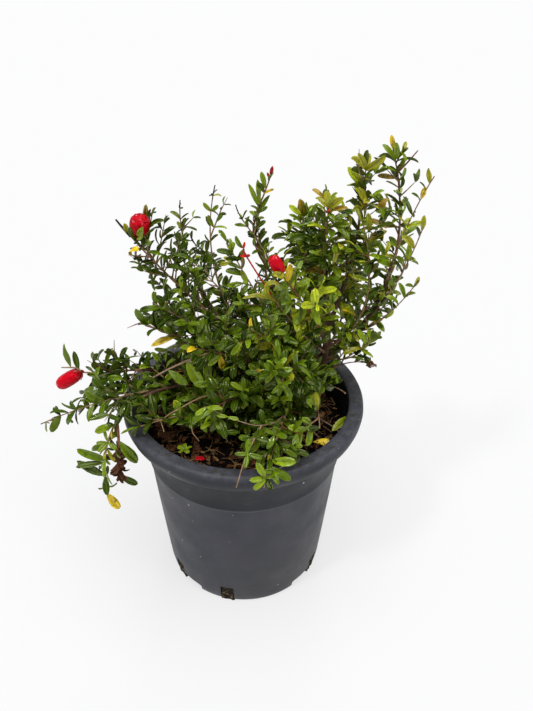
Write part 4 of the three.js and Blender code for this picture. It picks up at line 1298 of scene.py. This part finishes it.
# %% Withered clusters
# curled dead leaves crowded on their spurs: the spur, how many, the longest in mm
for name, count, longest in (("withered_spur", 64, 14), ("withered_tip", 15, 9)):
    line = lines[name]
    for k in range(count):
        share = 0.34 + 0.62 * k / count
        way = leaning(-UP, chance.uniform(0.1, 1.0) * (0.45 + 0.35 * share), k * 2.4)
        length = longest * MM * chance.uniform(0.55, 1.1)
        facing = [chance.gauss(0, 1) for _ in range(3)]
        wide, curl = chance.uniform(0.3, 0.55), chance.uniform(0.5, 2.2)
        make_leaf(line.region, line.at(share), way, length, wide, "rust", curl, facing, chance)
print("placed by hand so far:", len(leaves), "leaves")

# %% Leafy twigs placed one by one
# the limb and where it leaves it, and the stops it passes in millimetres
LEAFY_TWIGS = [
    ("flower_arm", 0.8, [(-74, 6, 402), (-69, 12, 424)]),
    ("flower_arm", 0.87, [(-84, 5, 412), (-79, 8, 432)]),
    ("flower_arm", 0.72, [(-62, 4, 386), (-54, 8, 408)]),
    ("flower_arm", 0.76, [(-68, -6, 382), (-62, -12, 398)]),
    ("thin_spire_right", 0.7, [(-20, 26, 424), (-14, 24, 436)]),
    ("low_left", 0.72, [(-128, -8, 283), (-127, -4, 298)]),
    ("low_left", 0.85, [(-154, -22, 253), (-161, -28, 243)]),
    ("low_left", 0.78, [(-136, -20, 252), (-144, -28, 240)]),
    ("low_left", 0.82, [(-142, -8, 272), (-150, -6, 284)]),
    ("crest_mid", 0.9, [(102, 26, 462), (101, 24, 482)]),
    ("front_hang", 0.55, [(24, -88, 256), (8, -104, 250)]),
    ("front_hang", 0.62, [(30, -100, 248), (14, -118, 236)]),
    ("left_shelf", 0.9, [(-92, -28, 335), (-105, -36, 333)]),
    ("centre_low", 0.88, [(-20, -90, 266), (-11, -100, 253)]),
    ("front_hang", 0.45, [(20, -96, 255), (0, -104, 249)]),
    ("front_hang", 0.48, [(36, -96, 257), (52, -103, 248)]),
    ("front_right", 0.7, [(52, -90, 254), (38, -104, 247)]),
    ("left_front", 0.62, [(-48, -84, 254), (-38, -92, 246)]),
]
for index, (name, share, stops) in enumerate(LEAFY_TWIGS):
    host = lines[name]
    twig = Line.through([host.at(share)] + [mm(*stop) for stop in stops])
    host.stretch = 1.3  # these may end a little past the reach of their stem
    dress_twig(host, twig, index * 1.1, pick_tone(host, chance), False, chance)
    host.stretch = 1.0
print(len(LEAFY_TWIGS), "leafy twigs;", len(leaves), "leaves in all")

# %% How some stems end
STEM_ENDS = {  # the share of its line at which a stem stops short
    "front_hang": 0.93, "right_front": 0.8, "front_right": 0.82, "left_shelf": 0.94, "left_shoulder": 0.84,
    "low_left": 0.88, "flower_shoot": 0.94, "bud_spire": 0.96, "flower_arm": 0.95,
}
BARE_TIPS = {  # in millimetres
    "flower_arm": 12, "thorn_spire": 13, "thin_spire_left": 8, "thin_spire_right": 9, "red_shoot": 70,
    "far_right": 14, "right_reach": 8, "right_side": 8, "low_left_tip": 5, "flower_shoot": 5,
    "bud_spire": 3, "droop": 12,
}
STEM_TONES = {"bud_spire": RED_BROWN, "front_hang": PALE}
FIRST_TWIG = {"low_left_tip": 8, "right_side": 4}  # the node, counted from the tip, that bears the first twig
DARK_TIPS = ("thorn_spire", "thin_spire_left", "thin_spire_right", "right_side", "low_left_tip", "droop")
RED_FROM = 0.71  # the red shoot is brown wood up to this share
MASS_SEED = 500  # each mass has its own, so that a change to one leaves the rest as they are


# %% Grow every mass
def add_stem(line, start, end, tone, steps=30):
    """A stretch of stem, a little knotted, thinner towards its tip."""
    shares = np.linspace(start, end, steps + 1)
    points = np.array([line.at(share) for share in shares])
    radii = np.array([max(0.55 * MM, line.radius(share) * (1 - 0.55 * share)) for share in shares])
    radii *= 1.25 if tone == RED else 1.0
    rods.append((line.region, points, radii * (1 + 0.12 * np.sin(np.arange(steps + 1) * 2.2)), tone))


def grow_mass(line, seed):
    """Lays the mass's stem, then goes from node to node from its tip down."""
    chance = random.Random(seed)
    end = STEM_ENDS.get(line.name, 1 - 2 * MM / line.length)
    bare_tip = BARE_TIPS.get(line.name, 0) * MM / line.length
    tone = STEM_TONES.get(line.name, chance.choice([BROWN, BROWN, RED_BROWN]))
    dark_from = end - bare_tip if line.name in DARK_TIPS else end
    if line.name == "red_shoot":
        add_stem(line, 0.0, RED_FROM + 0.01, BROWN)
        add_stem(line, RED_FROM, end, RED)
    else:
        add_stem(line, max(0.0, line.bare - 0.01), dark_from, tone)
    if dark_from < end:
        add_stem(line, dark_from - 0.004, end, THORN, 6)
    share, k = end - bare_tip - 0.01, 0
    gap = NODE_GAP * (1.6 if line.fullness < 0.5 else 1.0)
    while share > max(0.12, line.bare * 0.55):
        root, axis = line.at(share), line.way(share)
        turn_angle = k * math.pi / 2 + chance.gauss(0, 0.3)
        tone = pick_tone(line, chance)
        grow_pair(line, root, axis, turn_angle, line.leaf_length * (0.72 if k == 0 else 1.0), tone, chance)
        twigs = int(line.fullness + chance.random()) if k >= FIRST_TWIG.get(line.name, 2) else 0
        for n in range(twigs):
            reach = spread_at(line, share) * chance.uniform(0.35, min(0.98, 0.5 + 0.33 * line.fullness))
            turned = turn_angle + math.pi * (0.5 + n) + chance.gauss(0, 0.4)
            grow_twig(line, root, axis, turned, reach, chance)
        if not twigs and chance.random() < BEARS_TUFT:
            grow_tuft(line, root, axis, turn_angle, line.leaf_length, tone, chance)
        share -= gap * chance.uniform(0.75, 1.2) / line.length
        k += 1
    if not bare_tip and line.name not in STEM_ENDS:
        grow_leaf(line, line.at(end), line.way(1.0), line.leaf_length * 0.8, pick_tone(line, chance), chance)


for index, line in enumerate(shoots):
    grow_mass(line, MASS_SEED + index)
print("grown:", len(leaves), "leaves and", len(rods), "stems and twigs")

# %% [markdown]
# A few leaves here and there have turned. Each place below is a spot on the crown as the eye sees it, and
# the leaf nearest to it in front takes the tone.

# %% Turn some leaves
TURNED = {
    "yellow": [(12, 264), (107, 328), (-75, 386), (50, 324), (30, 286), (-48, 290)],
    "bronze": [(105, 483), (50, 445), (61, 448), (85, 440), (122, 468), (101, 463)],
    "olive": [(81, 440), (76, 449), (92, 455), (66, 440), (110, 470), (128, 462)],
    "dark": [(-65, 275), (-60, 274), (-54, 273), (-57, 267)],
}
spots = np.array([seen_at(leaf["root"] + leaf["way"] * leaf["length"] / 2) for leaf in leaves])
depths = np.array([leaf["root"][1] for leaf in leaves]) / MM
for tone, places in TURNED.items():
    for place in places:
        score = np.linalg.norm(spots - place, axis=1) + 0.12 * depths
        leaves[int(score.argmin())]["tone"] = tone
print("turned:", {tone: len(places) for tone, places in TURNED.items()})

# %% [markdown]
# ## Flowers and buds
#
# The blossoms are double: many crumpled petals packed in a ball or a capsule, held by a fleshy red calyx
# with pointed lobes. Each petal is a small grid wrapped on a ball, ruffled, and given a thickness. The ball
# is then drawn out to the blossom's own length, width and shoulders, and set on its stalk.

# %% Blossom finishes
RED_SHEEN = (1.0, 0.25, 0.3, 1)


def petal_finish(name, color, dark, dots):
    """Crimson with darker dots of painted shade among the crumples, and a few pale flecks of painted
    highlight.
    """
    finish = Finish(name, color, 0.34, Specular_IOR_Level=0.3, Specular_Tint=RED_SHEEN)
    finish.speckle(520.0, 2.0, 0.56, 0.62, dark, dots)
    finish.speckle(330.0, 3.0, 0.69, 0.73, (0.86, 0.22, 0.27), 0.4)
    finish.relief(300.0, 2.0, 0.0008, 0.6)
    return finish


petal = petal_finish("petal_crimson", (0.64, 0.0012, 0.012), (0.2, 0.0006, 0.003), 0.35)
# a deeper crimson with thick dots of painted shade, for the round blossom among the leaves
deep_shaded_petal = petal_finish("petal_deep_shaded", (0.46, 0.0012, 0.005), (0.07, 0.0006, 0.002), 0.9)
margin = Finish("petal_margin", (0.62, 0.004, 0.016), 0.36, Specular_IOR_Level=0.3, Specular_Tint=RED_SHEEN)
# painted highlight: pale patches on the petal margins, which meet at the blossom's tip
margin.speckle(300.0, 2.0, 0.56, 0.66, (0.86, 0.33, 0.36), 0.7)
sepal = Finish("calyx_red", (0.32, 0.004, 0.006), 0.34, Specular_IOR_Level=0.35)
sepal.speckle(260.0, 3.0, 0.5, 0.7, (0.5, 0.02, 0.012))
PETAL, MARGIN, SEPAL = range(3)
print("blossom finishes:", [finish.material.name for finish in (petal, deep_shaded_petal, margin, sepal)])


# %% Blossom parts
def add_petal(bm, azimuth, half, start, reach, radius, ruffle, pointed, slot, phase):
    """A petal or sepal on the unit ball, from its foot at -Z towards its tip at +Z."""
    made = bmesh.ops.create_grid(bm, x_segments=6, y_segments=9, size=1.0)["verts"]
    for face in {face for vert in made for face in vert.link_faces}:
        middle = face.calc_center_median()
        face.material_index = MARGIN if slot == PETAL and middle.y > 0.7 else slot
    for vert in made:
        across, along = vert.co.x, (vert.co.y + 1) / 2
        width = half * (1 - along**2 if pointed else min(1.0, 0.45 + along))
        end = reach * (1 if pointed else 1 - 0.1 * across**2)
        polar, turn = start + (end - start) * along, azimuth + across * width
        crumple = math.sin(5 * across + 9 * along + phase)
        crumple += 0.6 * math.sin(11 * across - 6 * along + 2 * phase)
        swell = radius + ruffle * along * crumple + 0.05 * across**2 * along
        flat = math.sin(polar) * swell
        vert.co = (flat * math.cos(turn), flat * math.sin(turn), -math.cos(polar) * swell)


def set_on_stalk(bm, foot, tip, width, square):
    """Draws the unit ball out to a length, width and shoulders, and puts its foot on the stalk."""
    foot, tip = Vector(mm(*foot)), Vector(mm(*tip))
    half_length, half_width = (tip - foot).length / 2, width * MM / 2
    turn = (tip - foot).to_track_quat("Z", "Y").to_matrix()
    for vert in bm.verts:
        swell = vert.co.length
        out = vert.co / swell
        flat = math.hypot(out.x, out.y)
        shoulder = flat**square / max(flat, 1e-6)
        height = math.copysign(abs(out.z) ** square, out.z)
        across = shoulder * half_width
        body = Vector((out.x * across, out.y * across, height * half_length))
        vert.co = foot + turn @ (body * swell + Vector((0, 0, half_length)))


def add_bmesh(bm, part):
    """Adds one bmesh to another and lets it go."""
    spare = bpy.data.meshes.new("spare")
    part.to_mesh(spare)
    part.free()
    bm.from_mesh(spare)
    bpy.data.meshes.remove(spare)


# %% Make the blossoms
PETAL_LAYERS = ((1.07, 0.74), (1.04, 0.86), (1.015, 0.97))  # each one's radius, and how far round it wraps
SEPALS = 6


def blossom(name, foot, tip, width, square, ruffle, petals, seed, finish):
    """Three layers of petals and a calyx of six lobes round a solid core."""
    chance = random.Random(seed)
    bm = bmesh.new()
    for layer, (radius, reach) in enumerate(PETAL_LAYERS):
        for k in range(petals):
            azimuth = 2 * math.pi * (k + 0.5 * layer + chance.uniform(-0.15, 0.15)) / petals
            far = min(math.pi * reach * chance.uniform(0.94, 1.03), 3.08)
            phase = chance.uniform(0, 6)
            add_petal(bm, azimuth, 3.9 / petals, 0.1, far, radius, ruffle, False, PETAL, phase)
    for k in range(SEPALS):
        azimuth, phase = 2 * math.pi * k / SEPALS, chance.uniform(0, 6)
        add_petal(bm, azimuth, 0.5, 0.12, 0.32 * math.pi, 1.13, 0.01, True, SEPAL, phase)
    set_on_stalk(bm, foot, tip, width, square)
    bmesh.ops.solidify(bm, geom=bm.faces, thickness=0.3 * MM)
    core = bmesh.new()
    bmesh.ops.create_uvsphere(core, u_segments=24, v_segments=16, radius=0.98)
    set_on_stalk(core, foot, tip, width, square)
    add_bmesh(bm, core)
    piece = finish_bmesh(name, bm, [finish.material, margin.material, sepal.material], sharp=50.0)
    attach(piece, "root")


blossom("blossom_left", (-161.5, -20, 269.2), (-184.2, -23, 254.8), 13.2, 0.72, 0.012, 4, 3, petal)
blossom("blossom_round", (-92.6, 0, 409.6), (-89.2, -2, 429.4), 17.2, 0.94, 0.014, 5, 4, deep_shaded_petal)
blossom("blossom_middle", (34.8, -42.2, 396.8), (26.6, -45, 412.2), 10.7, 0.76, 0.008, 4, 5, petal)


# %% Make the buds
def bud(bm, foot, tip, width):
    """A closed bud: a ball drawn out to a point, with four shallow seams."""
    fresh = bmesh.new()
    bmesh.ops.create_uvsphere(fresh, u_segments=16, v_segments=12, radius=1.0)
    for vert in fresh.verts:
        taper = 1 - 0.45 * max(0.0, vert.co.z) ** 2
        seam = 1 - 0.12 * abs(math.cos(2 * math.atan2(vert.co.y, vert.co.x)))
        vert.co.x, vert.co.y = vert.co.x * taper * seam, vert.co.y * taper * seam
    set_on_stalk(fresh, foot, tip, width, 1.0)
    add_bmesh(bm, fresh)


# what each bud sits on and where, the way it points, its length and width in mm
BUDS = [
    ("bud_spire", 0.965, (0.2, 0, 1), 8.5, 3.9), ("bud_spire", 0.95, (-0.4, -0.2, 1), 6.5, 2.8),
    ("left_flower_stalk", 0.75, (-0.3, -0.4, 1), 5, 2.6), ("red_shoot", 0.965, (0.8, -0.3, 0.3), 4, 3.0),
    ("trunk", 0.97, (0.2, -1, 0.5), 7, 3.6), ("crest_mid", 0.85, (-0.2, -1, 0.4), 6, 3.4),
    ("crest_left", 0.95, (-0.1, -1, 0.4), 7, 3.6),
]
bm = bmesh.new()
for name, share, way, length, width in BUDS:
    foot = lines[name].at(share) / MM
    bud(bm, foot, foot + unit(way) * length, width)
buds = finish_bmesh("small_buds", bm, [sepal.material], sharp=60.0)
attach(buds, "root")

# %% [markdown]
# ## Joining the leaves and twigs
#
# The crown is five parts: right, middle, left, front and back. Each part's leaves are one piece and its
# twigs another, so that a part can be looked at on its own and no piece grows too heavy.

# %% Join them by part of the crown
twig_rods = {}


def rod_copy(points, radii, tone):
    """A rod bent along its points. Stems and spurs, which have the more points, also have the more sides."""
    steps = len(points) - 1
    sides = 8 if steps > 6 else 6
    if (sides, steps) not in twig_rods:
        twig_rods[sides, steps] = rod_template(sides, steps)
    template = twig_rods[sides, steps]
    return template, bend_rod(template, steps, points, radii), template.slots + tone


def leaf_copy(leaf):
    shape = fine_leaf_shape if leaf["midrib"] else leaf_shape
    return shape, bend_leaf(shape, leaf), np.array(SLOTS_OF_TONE[leaf["tone"]])[shape.slots]


for region in REGIONS:
    copies = [leaf_copy(leaf) for leaf in leaves if leaf["region"] == region]
    foliage = join_copies(f"leaves_{region}", leaf_finishes, copies, sharp=55.0)
    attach(foliage, "root")
    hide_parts(*(f"foliage_{line.name}" for line in shoots if line.region == region))
    copies = [rod_copy(*rod) for part, *rod in rods if part == region]
    twigs = join_copies(f"twigs_{region}", [tone.material for tone in twig_tones], copies, sharp=70.0)
    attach(twigs, "root")

# %% [markdown]
# ## Fallen things on the compost
#
# Yellow, pale and rust-brown leaves, two bare twigs and a dropped petal lie on the compost, and a seedling
# has come up in it. They are made with the same leaf, rod and petal as the rest, laid on its lumps.

# %% Fallen leaves and a seedling
def on_soil(x, y, above=1.2):
    """A point this far above the compost, all in millimetres, given in metres."""
    return np.array([x * MM, y * MM, SOIL_TOP + above * MM + soil_height(x * MM, y * MM)])


SEEDLING = (-56, -66)
FALLEN = [  # right and back, the way it points, length in mm, width over length, tone, curl
    (71, -46, (1, -0.15, 0.12), 23, 0.42, "yellow", 0.4),
    (92, -30, (0.85, 0.75, 0.4), 27, 0.34, "young", 0.4),
    (60, -58, (-1, 0.3, 0.02), 16, 0.36, "rust", 0.8), (-60, -50, (0.3, 1, 0.02), 18, 0.36, "rust", 0.9),
    (10, -80, (1, 0.6, 0.02), 15, 0.4, "rust", 1.0), (-20, 60, (1, 0.6, 0.02), 20, 0.4, "rust", 0.7),
    (50, 70, (-1, 0.6, 0.02), 18, 0.4, "yellow", 0.6), (-70, 20, (0.2, 1, 0.02), 18, 0.4, "rust", 0.6),
]
leaves.clear()
chance = random.Random(5)
for x, y, way, length, wide, tone, curl in FALLEN:
    make_leaf("soil", on_soil(x, y), np.array(way, float), length * MM, wide, tone, curl, UP, chance)
for k in range(5):
    way = leaning(UP, 1.0, k * 1.26)
    make_leaf("soil", on_soil(*SEEDLING, 5.0), way, 8.5 * MM, 0.6, "bright", 0.6, UP + way, chance)
copies = [leaf_copy(leaf) for leaf in leaves]
fallen = join_copies("fallen_leaves", leaf_finishes, copies, sharp=55.0)
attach(fallen, "root")

# %% Fallen twigs and the seedling's stem
FALLEN_TWIGS = [((71, -7), (100, -32), PALE), ((49, -4), (77, -38), PALE), (SEEDLING, SEEDLING, GREEN)]
along = np.linspace(0, 1, 7)
copies = []
for start, end, tone in FALLEN_TWIGS:
    foot, far = on_soil(*start), on_soil(*end)
    run = foot + (far - foot) * along[:, None]
    run[:, 2] += np.linspace(-2, 5, 7) * MM if start == end else np.sin(3.1 * along) * 3 * MM
    copies.append(rod_copy(run, (1.0 - 0.4 * along) * MM, tone))
fallen_twigs = join_copies("fallen_twigs", [tone.material for tone in twig_tones], copies, sharp=70.0)
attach(fallen_twigs, "root")

# %% The dropped petal
bm = bmesh.new()
add_petal(bm, 0.0, 0.8, 0.1, 1.6, 1.0, 0.08, False, PETAL, 1.0)
for vert in bm.verts:
    laid = Vector((vert.co.y * 6.5, -vert.co.z * 8 - 4, vert.co.x * 3)) * MM
    vert.co = Vector(on_soil(-40.5, -74.2, 1.5)) + laid
bmesh.ops.solidify(bm, geom=bm.faces, thickness=0.25 * MM)
scrap = finish_bmesh("fallen_petal", bm, [petal.material, margin.material], sharp=50.0)
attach(scrap, "root")
